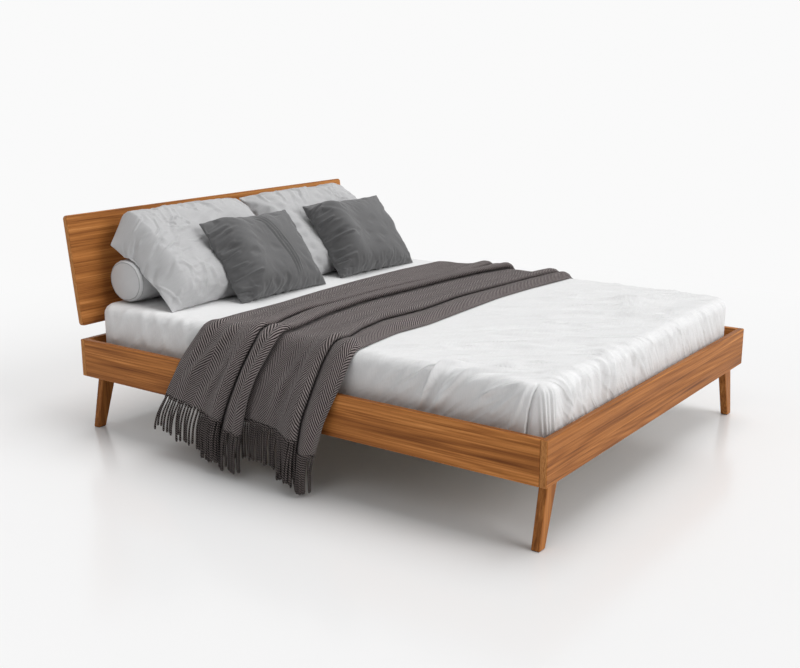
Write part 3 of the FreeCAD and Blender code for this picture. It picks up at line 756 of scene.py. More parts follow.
def fill_case(case, pressure, frames, stiff=15.0, bend=0.2):
    """Blow the case up with Cloth and keep the result as its mesh."""
    cloth = case.modifiers.new("filling", "CLOTH")
    cloth.settings.quality = 5
    cloth.settings.mass = 0.2
    cloth.settings.tension_stiffness = stiff
    cloth.settings.compression_stiffness = stiff
    cloth.settings.shear_stiffness = stiff * 0.3
    cloth.settings.bending_stiffness = bend
    cloth.settings.air_damping = 2.0
    cloth.settings.use_pressure = True
    cloth.settings.uniform_pressure_force = pressure
    cloth.settings.effector_weights.gravity = 0.0
    cloth.collision_settings.use_collision = False
    cloth.point_cache.frame_start = 1
    cloth.point_cache.frame_end = frames
    last_frame = frames
    for frame_number in range(1, last_frame + 1):
        scene.frame_set(frame_number)
    apply_all(case)
    scene.frame_set(1)


# %% [markdown]
# ## The roll behind the pillows
# The bolster is a tube of cotton closed by a round panel at each end, with a double seam where they
# meet. A cylinder is rounded at its rims and cut into rings, filled for a few frames so that it
# slumps unevenly, and then settled: wider than tall, and flat where it lies on the mattress.

# %% The bolster's tube, cut into rings
seat = bed_top + 0.0005
lies_on = seat + 0.0006
roll_y, roll_z, roll_half = 0.905, 0.5948, 0.74
roll_radius = 0.09
tube_length = 2 * roll_half - 0.012
bpy.ops.object.select_all(action="DESELECT")
bpy.ops.mesh.primitive_cylinder_add(vertices=72, radius=roll_radius, depth=tube_length, end_fill_type="NGON")
roll = bpy.context.object
roll.name = "bolster_roll"
bpy.ops.object.mode_set(mode="EDIT")
for step in np.arange(-0.70, 0.71, 0.02):
    bpy.ops.mesh.select_all(action="SELECT")
    bpy.ops.mesh.bisect(plane_co=(0.0, 0.0, step), plane_no=(0.0, 0.0, 1.0))
bpy.ops.object.mode_set(mode="OBJECT")
for end in (-1, 1):
    bpy.ops.object.mode_set(mode="EDIT")
    bpy.ops.mesh.select_all(action="DESELECT")
    bpy.ops.object.mode_set(mode="OBJECT")
    for face in roll.data.polygons:
        face.select = face.normal.z * end > 0.9
    bpy.ops.object.mode_set(mode="EDIT")
    bpy.ops.mesh.select_mode(type="FACE")
    for ring in range(7):
        bpy.ops.mesh.inset(thickness=0.004 if ring < 2 else 0.012)
    bpy.ops.object.mode_set(mode="OBJECT")
print("tube of", round(tube_length, 3), "m with", len(roll.data.polygons), "faces")

# %% Domed ends, then laid along the bed
place = points(roll)
across = np.hypot(place[:, 0], place[:, 1])
at_end = np.abs(place[:, 2]) > 0.733
place[:, 2] += np.sign(place[:, 2]) * 0.010 * (1 - smooth(across / roll_radius)) * at_end
rim = smooth((np.abs(place[:, 2]) - 0.715) / 0.020) * (across > roll_radius - 0.005)
place[:, :2] *= (1 - 0.05 * rim)[:, None]
move_points(roll, place)
roll.rotation_euler = (0.0, math.pi / 2, 0.0)
bpy.ops.object.transform_apply(location=False, rotation=True, scale=False)
remesh(roll, cell=0.008)
print("bolster faces:", len(roll.data.polygons))


# %% The bolster filled, dented and settled
def subdivide(piece):
    """Cut each face in four and round them off."""
    finer = piece.modifiers.new("finer", "SUBSURF")
    finer.levels = 1
    finer.render_levels = 1
    apply_all(piece)


most = 0.007
before = points(roll)
fill_case(roll, 3.0, 10, bend=0.6)
move = points(roll) - before
far = np.linalg.norm(move, axis=1, keepdims=True)
place = before + move * np.minimum(1.0, most / np.maximum(far, 1e-9))
rng = np.random.default_rng(11)
around = np.arctan2(place[:, 2], place[:, 1])
dent = np.zeros(len(place))
for k in range(14):
    along = rng.uniform(4, 22) * place[:, 0]
    dent += 0.0007 * np.sin(along + rng.integers(1, 5) * around + rng.uniform(0, 6.3))
pull = smooth((np.abs(place[:, 0]) - 0.60) / 0.12) * smooth((0.735 - np.abs(place[:, 0])) / 0.02)
dent += pull * 0.0012 * np.sin(23 * around + 2 * np.sin(3 * around))
place[:, 1:] *= (1 + dent / roll_radius)[:, None]
settled_half = np.array([roll_half - 0.001, 0.0965, 0.0900])
place *= settled_half / np.abs(place).max(axis=0)
place += (0.0, roll_y, roll_z)
place[:, 2] = np.maximum(place[:, 2], lies_on)
move_points(roll, place)
subdivide(roll)
bpy.ops.object.shade_smooth()
print("bolster", box_of(roll))


# %% The double seam at each end of the bolster
def surface_tree(piece):
    """The piece's faces in a tree, to find where a ray meets them."""
    corners = [v.co for v in piece.data.vertices]
    faces = [face.vertices[:] for face in piece.data.polygons]
    return BVHTree.FromPolygons(corners, faces)


seam_radius = 0.0018
roll_skin = surface_tree(roll)
rings = []
for x in (-0.7285, -0.7150, 0.7150, 0.7285):
    bpy.ops.object.select_all(action="DESELECT")
    bpy.ops.mesh.primitive_torus_add(
        major_segments=96, minor_segments=6, major_radius=roll_radius, minor_radius=seam_radius
    )
    ring = bpy.context.object
    place = points(ring)
    across = np.hypot(place[:, 0], place[:, 1])
    around = np.arctan2(place[:, 1], place[:, 0])
    for k, (angle, wide) in enumerate(zip(around, across)):
        way = Vector((0.0, math.cos(angle), math.sin(angle)))
        hit = roll_skin.ray_cast(Vector((x, roll_y, roll_z)), way)[3]
        spot = Vector((x + place[k, 2], roll_y, roll_z)) + way * (hit + wide - roll_radius)
        place[k] = (spot.x, spot.y, max(spot.z, seat + 0.0003))
    move_points(ring, place)
    rings.append(ring)
bpy.ops.object.select_all(action="DESELECT")
for ring in rings:
    ring.select_set(True)
bpy.context.view_layer.objects.active = rings[0]
bpy.ops.object.join()
roll_seams = rings[0]
roll_seams.name = "bolster_seams"
bpy.ops.object.shade_smooth()
print("seam rings:", len(rings))

# %% Cotton on the bolster
mean_radius = 0.093
roll.data.uv_layers.new(name="UVMap")
place = points(roll)
around = np.arctan2(place[:, 2] - roll_z, np.abs(place[:, 1] - roll_y)) * mean_radius
set_flat(roll, np.stack([place[:, 0], around], axis=1))
roll.data.materials.append(cotton("bolster_cotton", (0.60, 0.60, 0.605), sheet_thread))
# The seams get a darker copy of the bolster's cotton: painted shade for the grooves where each end panel
# meets the tube.
roll_seams.data.materials.append(cotton("bolster_seam_cotton_painted_shade", (0.38, 0.38, 0.385), sheet_thread))
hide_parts("bolster_cover", "bolster_filling")
for piece in (roll, roll_seams):
    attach(piece, "bolster")
    print(piece.name, len(piece.data.polygons), "faces")

# %% [markdown]
# ## The pillows
# Two soft pillows in pale grey cases lean on the roll. The near one's case is longer than its filling,
# so its outer end is slack and the top corner droops behind. Each flat case is filled with Cloth, made
# thinner at the back where it leans, and laid on the roll; where it would cut into the roll or the
# mattress it is pushed out, as a real pillow would give way.


# %% Helpers to fit a filled case to its place
def fit_case(case, flat, width, height, pull, front, back):
    """Bring a filled case to its size, with its seams drawn in by pull between the corners."""
    place = points(case)
    place -= (place.max(axis=0) + place.min(axis=0)) / 2
    place[:, 0] *= width / 2 / np.abs(place[:, 0]).max()
    place[:, 1] *= height / 2 / np.abs(place[:, 1]).max()
    for axis, half in ((0, width / 2), (1, height / 2)):
        u, v = flat[:, axis], flat[:, 1 - axis]
        for side in (-1, 1):
            rim = np.where((np.abs(u - side) < 1e-4) & (flat[:, 2] > 0))[0]
            rim = rim[np.argsort(v[rim])]
            seam = np.convolve(np.pad(place[rim, axis], 4, mode="edge"), np.ones(9) / 9, mode="valid")
            wanted = side * (half - pull * (1 - v * v))
            place[:, axis] += np.clip(side * u, 0, 1) ** 2 * (wanted - np.interp(v, v[rim], seam))
    top, low = place[:, 2].max(), -place[:, 2].min()
    place[:, 2] *= np.where(place[:, 2] > 0, front / top, back / low)
    return place


def stand(place, middle, tilt, turn=0.0):
    """Lean a flat piece back by tilt about X, turn it about the upright, and set its middle in place."""
    c, s = math.cos(math.radians(tilt)), math.sin(math.radians(tilt))
    x, y, z = place[:, 0], place[:, 1] * c - place[:, 2] * s, place[:, 1] * s + place[:, 2] * c
    c, s = math.cos(math.radians(turn)), math.sin(math.radians(turn))
    return np.stack([x * c - y * s, x * s + y * c, z], axis=1) + middle


def give_way(place, tilt):
    """Push points out of the roll, along the pillow's own face, and up off the mattress."""
    out = np.array([-math.sin(math.radians(tilt)), math.cos(math.radians(tilt))])
    # Half sizes of the settled roll, with 3 mm of room.
    spread = np.array([0.0995, 0.0930])
    from_axis = (place[:, 1:] - (roll_y, roll_z)) / spread
    step = out / spread
    inside = (np.sum(from_axis**2, axis=1) < 1.0) & (np.abs(place[:, 0]) < roll_half + 0.004)
    a = step @ step
    b = from_axis @ step
    c = np.sum(from_axis**2, axis=1) - 1.0
    push = (-b + np.sqrt(np.maximum(b * b - a * c, 0.0))) / a
    place[:, 1:] += np.where(inside, push, 0.0)[:, None] * out
    place[:, 2] = np.maximum(place[:, 2], lies_on)
    return place


def refine(case, place, flat):
    """Subdivide a fitted case once, so that fine creases can be raised on it."""
    move_points(case, place)
    case.data.attributes.new("flat", "FLOAT_VECTOR", "POINT").data.foreach_set("vector", flat.ravel())
    subdivide(case)
    flat = np.empty(len(case.data.vertices) * 3)
    case.data.attributes["flat"].data.foreach_get("vector", flat)
    case.data.attributes.remove(case.data.attributes["flat"])
    return points(case), flat.reshape(-1, 3)


def finish_case(case, fill, body, slot_name, finish, *replaced):
    """Give a fitted case its cotton, hide the CAD parts it stands for, and attach it to the body it moves
    with.
    """
    bpy.ops.object.shade_smooth()
    case.data.materials.append(finish)
    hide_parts(*replaced)
    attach(case, body)
    print(case.name, len(case.data.polygons), "faces", box_of(case))


# %% Creases of a pillow
def pillow_creases(a, b, outer, seed):
    """How far a pillow's front is raised: slack folds at its outer end, and gathers at both long seams."""
    rng = np.random.default_rng(seed)
    lift = np.zeros(len(a))
    for k in range(46):
        start = np.array([outer * rng.uniform(0.13, 0.36), rng.uniform(-0.23, 0.19)])
        angle = rng.normal(0.55, 0.55)
        way = np.array([-outer * math.cos(angle), math.sin(angle)]) * rng.uniform(0.03, 0.13)
        bow = np.array([way[1], -way[0]]) * rng.normal(0, 0.3)
        path = [start, start + way * 0.5 + bow, start + way]
        lift += crease(a, b, path, rng.uniform(0.0035, 0.008), rng.uniform(0.0018, 0.0062))
    for k in range(14):
        start = np.array([outer * rng.uniform(-0.10, 0.34), -0.238])
        way = np.array([rng.normal(0, 0.05), rng.uniform(0.04, 0.14)])
        path = [start, start + way * 0.5 + (rng.normal(0, 0.01), 0.0), start + way]
        lift += crease(a, b, path, rng.uniform(0.004, 0.009), rng.uniform(0.0025, 0.0070), rise=0.2)
    for k in range(12):
        start = np.array([outer * rng.uniform(-0.32, 0.25), 0.235])
        way = np.array([outer * rng.normal(-0.04, 0.05), -rng.uniform(0.04, 0.16)])
        path = [start, start + way * 0.5 + (rng.normal(0, 0.012), 0.0), start + way]
        lift += crease(a, b, path, rng.uniform(0.004, 0.009), rng.uniform(0.0015, 0.0050), rise=0.3)
    for start, end in (((0.02, 0.24), (0.13, 0.10)), ((-0.10, 0.23), (-0.20, 0.02))):
        path = [start, ((start[0] + end[0]) / 2 + 0.01, (start[1] + end[1]) / 2), end]
        lift += crease(a, b, path, 0.009, 0.0048, rise=0.2)
    return lift


# %% Pillows
pillow_tilt = 42.0
pillow_middle = (0.8223, 0.6731)
half_width, half_height = 0.371, 0.25
droop_way = np.array([0.012, -0.092, -0.065])
pillow_cotton = cotton("pillow_cotton", (0.485, 0.485, 0.490), sheet_thread)
pillows = {}
for side, x, width, seed in (("left", -0.366, 0.742, 21), ("right", 0.386, 0.700, 34)):
    outer = 1.0 if side == "right" else -1.0
    slack_length = 0.10 if side == "left" else 0.05
    droop_size = 1.0 if side == "left" else 0.35
    case, flat = sewn_case(f"pillow_{side}_filled", 0.80, 0.54, 0.0072, seed)
    fill_case(case, 4.0, 17, bend=0.10)
    place = fit_case(case, flat, width, 2 * half_height, pull=0.012, front=0.105, back=0.024)
    place, flat = refine(case, place, flat)
    a, b = flat[:, 0] * half_width, flat[:, 1] * half_height
    from_end = half_width - outer * a
    from_top = half_height - b
    slack_end = 0.25 + 0.75 * smooth(from_end / slack_length)
    place[:, 2] *= slack_end * (1.0 - 0.10 * flat[:, 1])
    on_front = smooth(flat[:, 2] / 0.003 + 0.5)
    place[:, 2] += pillow_creases(a, b, outer, seed) * on_front
    droop = np.clip(1.0 - from_end / 0.100, 0, 1) * np.clip(1.0 - from_top / 0.40, 0, 1)
    place += droop[:, None] * droop_way * droop_size * (-outer, 1.0, 1.0)
    place = stand(place, (x, *pillow_middle), pillow_tilt)
    move_points(case, give_way(place, pillow_tilt))
    replaced = [f"pillow_case_{side}", f"pillow_filling_{side}"]
    finish_case(case, 0.6, f"pillow_{side}", "pillow_fabric", pillow_cotton, *replaced)
    pillows[side] = case

# %% [markdown]
# ## The cushions
# Two small dark grey cushions stand against the pillows. They are fuller, so they are blown up harder
# and pucker along their seams, with sharp corners. Their filling has slid to one side, so the front has
# a crest there and falls away to the puckered seam. Where a cushion meets its pillow it is held off the
# pillow's skin, which is found by a ray from in front.


# %% Puckers of a cushion
def cushion_creases(a, b, side, seed):
    """How far a cushion's front is raised: puckers at two seams, and pulled lines on the left cushion."""
    rng = np.random.default_rng(seed)
    lift = np.zeros(len(a))
    for y in np.arange(-0.170, 0.15, 0.019):
        y += rng.normal(0, 0.005)
        slope = rng.normal(0, 0.012)
        path = [(-0.247, y), (-0.220, y + slope * 0.4), (-0.247 + rng.uniform(0.05, 0.13), y + slope)]
        lift += crease(a, b, path, rng.uniform(0.0040, 0.0080), rng.uniform(0.004, 0.0120), rise=0.10)
    for spot in np.arange(-0.22, 0.23, 0.033):
        spot += rng.normal(0, 0.006)
        bent = (spot + rng.normal(0, 0.006), -0.165)
        path = [(spot, -0.186), bent, (spot + rng.normal(0, 0.012), -0.185 + rng.uniform(0.04, 0.09))]
        lift += crease(a, b, path, rng.uniform(0.004, 0.0075), rng.uniform(0.0010, 0.0035), rise=0.10)
    if side == "left":
        for k, wide in enumerate((0.0, 0.022, 0.038)):
            path = [(-0.02 + wide, 0.17), (0.015 + wide, 0.09), (0.045 + wide, -0.02)]
            path.append((0.075 + wide * 0.6, -0.14))
            lift += crease(a, b, path, 0.0042, 0.0060 - 0.001 * k, rise=0.25)
    return lift


# %% Holding a cushion off the pillows
pillow_lean = math.radians(pillow_tilt)
pillow_out = Vector((0.0, -math.sin(pillow_lean), math.cos(pillow_lean)))
pillow_skins = [surface_tree(pillow) for pillow in pillows.values()]
look_from = 0.6
held_off = look_from + 0.0015


def off_pillows(place):
    """Move points out along the pillows' fronts until they clear them."""
    for k, spot in enumerate(place):
        spot = Vector(spot)
        for skin in pillow_skins:
            hit = skin.ray_cast(spot + pillow_out * look_from, -pillow_out)[3]
            if hit is not None and hit < held_off:
                spot = spot + pillow_out * (held_off - hit)
        place[k] = spot
    return place


# %% Cushions
cushion_tilt = 53.0
cushion_middle = (0.6282, 0.6585)
cushion_width, cushion_height = 0.498, 0.378
cushion_cotton = cotton("cushion_cotton", (0.130, 0.130, 0.132), 0.0022, cloud=0.05, sheen=0.22)
for side, x, turn, seed in (("left", -0.216, -1.5, 5), ("right", 0.430, -4.0, 8)):
    case, flat = sewn_case(f"cushion_{side}_filled", 0.545, 0.425, 0.0066, seed)
    fill_case(case, 6.0, 17, bend=0.08)
    place = fit_case(case, flat, cushion_width, cushion_height, pull=0.008, front=0.084, back=0.050)
    place, flat = refine(case, place, flat)
    a, b = flat[:, 0] * cushion_width / 2, flat[:, 1] * cushion_height / 2
    crest = 1.0 + 0.54 * np.exp(-(((a + 0.150) / 0.066) ** 2)) - 0.20 * smooth(a / 0.20)
    place[:, 2] *= np.where(place[:, 2] > 0, crest, 1.0)
    place[:, 2] -= 0.008 * smooth((-0.13 - a) / 0.12)
    on_front = smooth(flat[:, 2] / 0.003 + 0.5)
    place[:, 2] += cushion_creases(a, b, side, seed) * on_front
    place = off_pillows(stand(place, (x, *cushion_middle), cushion_tilt, turn))
    place[:, 2] = np.maximum(place[:, 2], lies_on)
    move_points(case, place)
    replaced = [f"cushion_cover_{side}", f"cushion_filling_{side}"]
    finish_case(case, 0.8, f"cushion_{side}", "cushion_fabric", cushion_cotton, *replaced)

# %% [markdown]
# ## The throw
# A herringbone wool throw lies across the bed, folded into knife pleats that face the foot: at each
# fold the cloth turns back under itself and comes forward again. So its cross section is drawn once, as
# a chain of points from the head edge to the foot edge, rounded off, and carried along the path over the
# mattress and down outside the rails. The fold lines wander as they do in the photograph.


# %% Path of the throw across the bed
def rounded(chain, times=2):
    """Cut the corners of an open chain of points, a quarter from each end, which rounds it."""
    for k in range(times):
        a, b = chain[:-1], chain[1:]
        cut = np.stack([0.75 * a + 0.25 * b, 0.25 * a + 0.75 * b], axis=1).reshape(-1, chain.shape[1])
        chain = np.concatenate([chain[:1], cut, chain[-1:]])
    return chain


def side_path(flare, hem):
    """One side, from the mattress edge over the rail's top and down past the hem, standing off by flare."""
    bend_x, bend_z, bend_radius = 0.76, 0.4653, 0.0409
    rail_x, rail_z = 0.8573, 0.374
    below_hem = 0.10
    angles = np.radians([90, 72, 54, 36])
    bend = [(bend_x + bend_radius * math.cos(q), bend_z + bend_radius * math.sin(q)) for q in angles]
    last_x, last_z = bend[-1]
    low = [((last_x + rail_x) / 2, (last_z + rail_z) / 2 + 0.004), (rail_x, rail_z)]
    low += [(rail_x + 0.6 * flare, 0.6 * rail_z + 0.4 * hem), (rail_x + flare, 0.25 * rail_z + 0.75 * hem)]
    return bend + low + [(rail_x + flare, hem), (rail_x + flare, below_hem)]


far_hem = 0.330
lies_at = 0.5062
near_side = [(-x, z) for x, z in side_path(flare=0.028, hem=0.228)]
far_side = side_path(flare=0.010, hem=far_hem)
drape = np.array(far_side[::-1] + [(0.4, lies_at), (0.0, lies_at), (-0.4, lies_at)] + near_side)
drape = rounded(drape, 3)
travel = np.concatenate([[0.0], np.cumsum(np.linalg.norm(np.diff(drape, axis=0), axis=1))])
travel -= np.interp(0.0, -drape[:, 0], travel)
tangent = np.gradient(drape, travel, axis=0)
tangent /= np.linalg.norm(tangent, axis=1, keepdims=True)
print("throw path from", round(travel[0], 3), "to", round(travel[-1], 3), "m")

# %% Fold lines, read along the path from the far side to the near side
fold_lines = [
    # head edge
    [
        (-0.715, 0.417), (-0.48, 0.436), (-0.185, 0.440), (0.10, 0.431), (0.375, 0.410),
        (0.60, 0.413), (0.76, 0.402), (0.83, 0.428), (0.92, 0.467), (1.0, 0.495),
        (1.07, 0.528), (1.15, 0.575),
    ],
    # first fold
    [
        (-0.78, 0.146), (-0.53, 0.119), (-0.345, 0.137), (-0.15, 0.185), (0.08, 0.198),
        (0.29, 0.198), (0.47, 0.212), (0.62, 0.185), (0.72, 0.150), (0.80, 0.136),
        (0.86, 0.152), (0.91, 0.163), (0.97, 0.182), (1.036, 0.207), (1.09, 0.229),
        (1.15, 0.245),
    ],
    # second fold
    [
        (-0.78, 0.040), (-0.58, 0.076), (-0.37, 0.100), (-0.02, 0.122), (0.23, 0.127),
        (0.44, 0.107), (0.66, 0.060), (0.77, 0.034), (0.84, 0.052), (0.90, 0.069),
        (0.96, 0.088), (1.04, 0.111), (1.09, 0.125), (1.14, 0.141),
    ],
    # third fold
    [
        (-0.78, -0.200), (-0.56, -0.163), (-0.31, -0.140), (-0.05, -0.128), (0.21, -0.134),
        (0.42, -0.114), (0.58, -0.139), (0.72, -0.186), (0.79, -0.190), (0.84, -0.174),
        (0.89, -0.166), (0.96, -0.156), (1.01, -0.145), (1.07, -0.134), (1.15, -0.120),
    ],
    # foot edge
    [
        (-0.74, -0.290), (-0.44, -0.259), (-0.21, -0.248), (0.07, -0.261), (0.34, -0.276),
        (0.51, -0.259), (0.66, -0.274), (0.77, -0.290), (0.81, -0.282), (0.87, -0.276),
        (0.94, -0.262), (1.01, -0.237), (1.09, -0.211), (1.16, -0.185),
    ],
]
stations = np.linspace(-1.05, 1.20, 300)
soften = np.hanning(13) / np.hanning(13).sum()
softened = []
for line in fold_lines:
    along, y = np.array(line).T
    y = np.interp(stations, along, y)
    softened.append(np.convolve(np.pad(y, 6, mode="edge"), soften, mode="valid"))
head_edge, fold_a, fold_b, fold_c, foot_line = softened
print("fold lines:", len(softened), "at", len(stations), "stations")


# %% Cross section of the pleated throw
def pleat(line, shoulder, back):
    """Points of one pleat, as places along the bed in metres and heights in millimetres.

    The cloth comes over a shoulder to the fold line, turns back underneath, and comes forward again.
    """
    lip = 0.007
    over = [(line + 0.09 * shoulder, 6.0), (line + 0.05 * shoulder, 18.0), (line + 0.018 * shoulder, 30.0)]
    nose = [(line - lip, 29.0), (line - 2.4 * lip, 20.0), (line, 10.0)]
    under = [(line + 0.3 * back, 8.5), (line + back, 8.2), (line + back + 0.005, 6.0)]
    forward = [(line + back, 3.4), (line + 0.3 * back, 3.0), (line + 0.004, 3.2)]
    return over + nose + under + forward


wide_a = head_edge - fold_a
wide_b = fold_a - fold_b
wide_c = fold_b - fold_c
wide_d = fold_c - foot_line
tucked = np.full_like(fold_a, 0.085)
narrow = np.clip(wide_b / 0.20, 0.1, 0.5)
chain = [(head_edge, 1.0), (head_edge - 0.012, 2.0)]
chain += [(head_edge - 0.22 * wide_a, 4.0), (head_edge - 0.42 * wide_a, 2.5)]
chain += pleat(fold_a, 1.0, tucked)
chain += [(fold_a - 0.012, 6.0), (fold_a - 0.26 * wide_b, 16.0), (fold_a - 0.50 * wide_b, 27.0)]
raised = pleat(fold_b, narrow, 0.80 * wide_b)
chain += [(y, h + 4.0) for y, h in raised[1:5]] + raised[5:]
chain += [(fold_b - 0.02, 4.0), (fold_b - 0.3 * wide_c, 5.5), (fold_b - 0.55 * wide_c, 3.0)]
chain += pleat(fold_c, 1.0, tucked)
chain += [(fold_c - 0.012, 6.0), (fold_c - 0.25 * wide_d, 15.0)]
chain += [(fold_c - 0.52 * wide_d, 24.0), (fold_c - 0.78 * wide_d, 17.0)]
chain += [(foot_line + 0.012, 3.5), (foot_line, 1.2)]
print("cross section of", len(chain), "points")

# %% Even columns across the unfolded throw
ys = np.stack([np.broadcast_to(y, stations.shape) for y, h in chain], axis=1)
heights = np.array([h for y, h in chain]) / 1000
weights = rounded(np.eye(len(chain)), 2)
middle = np.argmin(np.abs(stations))
section = np.stack([weights @ ys[middle], weights @ heights], axis=1)
length = np.concatenate([[0.0], np.cumsum(np.linalg.norm(np.diff(section, axis=0), axis=1))])
across = np.linspace(0.0, length[-1], 191)
column_mix = np.stack([np.interp(across, length, column) for column in weights.T], axis=1)
table_y = ys @ column_mix.T
table_h = column_mix @ heights
print("throw is", round(length[-1], 3), "m wide when unfolded, in", len(across), "columns")


# %% Where the hems hang
def hem_stations(levels, part):
    """How far along the drape each column of the cloth ends, from the heights of its hem."""
    return np.interp(levels, drape[part, 1], travel[part])


near_hem = [0.240, 0.240, 0.233, 0.224, 0.214, 0.209, 0.206, 0.205, 0.205, *np.linspace(0.205, 0.172, 7)]
near_hem += [0.170] * 3 + [0.168] * 4 + [*np.linspace(0.172, 0.220, 7), 0.222, 0.219, 0.215]
near_hem += [0.210, 0.207, 0.205, 0.205, 0.205, *np.linspace(0.203, 0.162, 7)]
near_hem += [0.159, 0.158, 0.156, 0.154, 0.151, 0.150]
near_end = hem_stations(column_mix @ np.array(near_hem), np.where(travel > 0.9)[0][::-1])
far_end = hem_stations(np.full(len(across), far_hem), travel < 0)
print("near hem from", min(near_hem), "to", max(near_hem), "m above the floor")

# %% The throw's grid, laid on its drape
rows = 176
bpy.ops.object.select_all(action="DESELECT")
bpy.ops.mesh.primitive_grid_add(x_subdivisions=len(across) - 1, y_subdivisions=rows, size=1.0)
throw = bpy.context.object
throw.name = "throw_woven_cloth"
grid = points(throw)
column = np.rint((grid[:, 0] + 0.5) * (len(across) - 1)).astype(int)
share = 0.5 - grid[:, 1]
station = far_end[column] + share * (near_end[column] - far_end[column])
step = (station - stations[0]) / (stations[1] - stations[0])
low = np.clip(step.astype(int), 0, len(stations) - 2)
part = step - low
y = table_y[low, column] * (1 - part) + table_y[low + 1, column] * part
print("throw grid", len(across), "by", rows + 1, "points")

# %% Heights of the throw above its drape: pleats, slow waves and soft folds
swell = np.interp(station, [-0.95, -0.80, 0.72, 0.92, 1.08], [1.2, 1.0, 1.0, 1.35, 1.55])
rng = np.random.default_rng(3)
sway = np.zeros(len(y))
for k in range(7):
    sway += np.sin(rng.uniform(4, 17) * station + rng.uniform(5, 26) * y + rng.uniform(0, 6.3)) / 7
hang = smooth((np.abs(station) - 0.72) / 0.25)
height = table_h[column] * swell + (0.004 + 0.006 * hang) * (sway + 0.55) * smooth(table_h[column] / 0.004)
folds = [
    ((0.70, 0.20), (0.86, 0.30), (1.02, 0.44), 0.020, 0.011),
    ((0.74, 0.17), (0.90, 0.22), (1.06, 0.33), 0.016, 0.009),
    ((0.66, 0.27), (0.82, 0.37), (0.96, 0.43), 0.018, 0.008),
    ((0.78, 0.16), (0.94, 0.19), (1.08, 0.26), 0.014, 0.007),
    ((0.68, -0.12), (0.86, -0.08), (1.04, 0.00), 0.018, 0.009),
    ((0.72, -0.16), (0.90, -0.13), (1.06, -0.07), 0.014, 0.008),
    ((0.30, 0.23), (0.48, 0.29), (0.64, 0.34), 0.020, 0.005),
    ((-0.10, 0.22), (0.12, 0.27), (0.30, 0.34), 0.022, 0.005),
    ((0.35, -0.09), (0.52, -0.04), (0.66, 0.00), 0.018, 0.004),
    ((-0.40, -0.10), (-0.20, -0.03), (0.02, 0.02), 0.020, 0.004),
]
for *line, wide, high in folds:
    height += np.maximum(crease(station, y, line, wide, high), 0.0)
height += 0.010 * np.exp(-(((station - 0.80) / 0.075) ** 2)) * smooth(table_h[column] / 0.003)
base = np.stack([np.interp(station, travel, drape[:, k]) for k in (0, 1)], axis=1)
way = np.stack([np.interp(station, travel, tangent[:, k]) for k in (0, 1)], axis=1)
place = np.stack([base[:, 0] + way[:, 1] * height, y, base[:, 1] - way[:, 0] * height], axis=1)
move_points(throw, place)
set_flat(throw, np.stack([station, across[column]], axis=1))
print("throw stands up to", round(height.max() * 1000), "mm off its drape")

# %% The rows at both hems, kept for the fringe, and the throw's thickness
row = np.rint(share * rows).astype(int)
hem_rows = {}
for k in (0, 1, rows - 1, rows):
    members = np.where(row == k)[0]
    hem_rows[k] = place[members[np.argsort(column[members])]]
thick = throw.modifiers.new("cloth_thickness", "SOLIDIFY")
thick.thickness = 0.0022
thick.offset = 1.0
apply_all(throw)
bpy.ops.object.shade_smooth()

# %% [markdown]
# ## Herringbone wool
# The weave runs in bands along the throw's length, and its slanting ribs turn the other way in each
# band. Two brown-grey yarns make the ribs. The pattern is drawn on the cloth's flat coordinates, where
# one unit is a metre, and the same ribs raise the surface a little.

# %% The wool finish
f = Finish("throw_herringbone_wool")
band = 0.038
rib = 0.0106
rib_slope = 1.15
flat = f.add("UVMap", {}).outputs[0]
along, over = f.add("SeparateXYZ", {0: flat}).outputs[:2]
wobble = f.noise(f.stretch(flat, (60.0, 60.0, 1.0)), 1.0, 2.0)
along = f.math("ADD", along, f.span(wobble, 0.3, 0.7, -0.0008, 0.0008))
zigzag = f.math("PINGPONG", over, band)
number = f.math("FLOOR", f.math("DIVIDE", over, band))
shift = f.math("MULTIPLY", f.math("PINGPONG", number, 1.0), rib / 2)
slant = f.math("ADD", f.math("ADD", along, f.math("MULTIPLY", zigzag, rib_slope)), shift)
ribs = f.math("SINE", f.math("MULTIPLY", slant, 2 * math.pi / rib))
fibre = f.noise(f.stretch(flat, (420.0, 420.0, 1.0)), 1.0, 3.0, 0.6)
patch = f.noise(f.stretch(flat, (7.0, 7.0, 1.0)), 1.0, 3.0)
light = f.mix(fibre, (0.250, 0.213, 0.206, 1.0), (0.425, 0.367, 0.358, 1.0))
dark = f.mix(fibre, (0.012, 0.009, 0.009, 1.0), (0.034, 0.027, 0.027, 1.0))
weave = f.mix(f.span(ribs, -0.15, 0.50), dark, light)
f.set(Base_Color=f.mix(f.span(patch, 0.3, 0.7, 0.0, 0.20), weave, (0.080, 0.066, 0.065, 1.0)))
f.set(Roughness=f.span(fibre, 0.3, 0.7, 0.85, 0.96), Sheen_Weight=0.14, Specular_IOR_Level=0.10)
throw.data.materials.append(f.set(Normal=f.bump(f.math("ADD", ribs, fibre), 0.8, 0.0020)))
print("herringbone bands of", band, "m, ribs of", rib, "m")
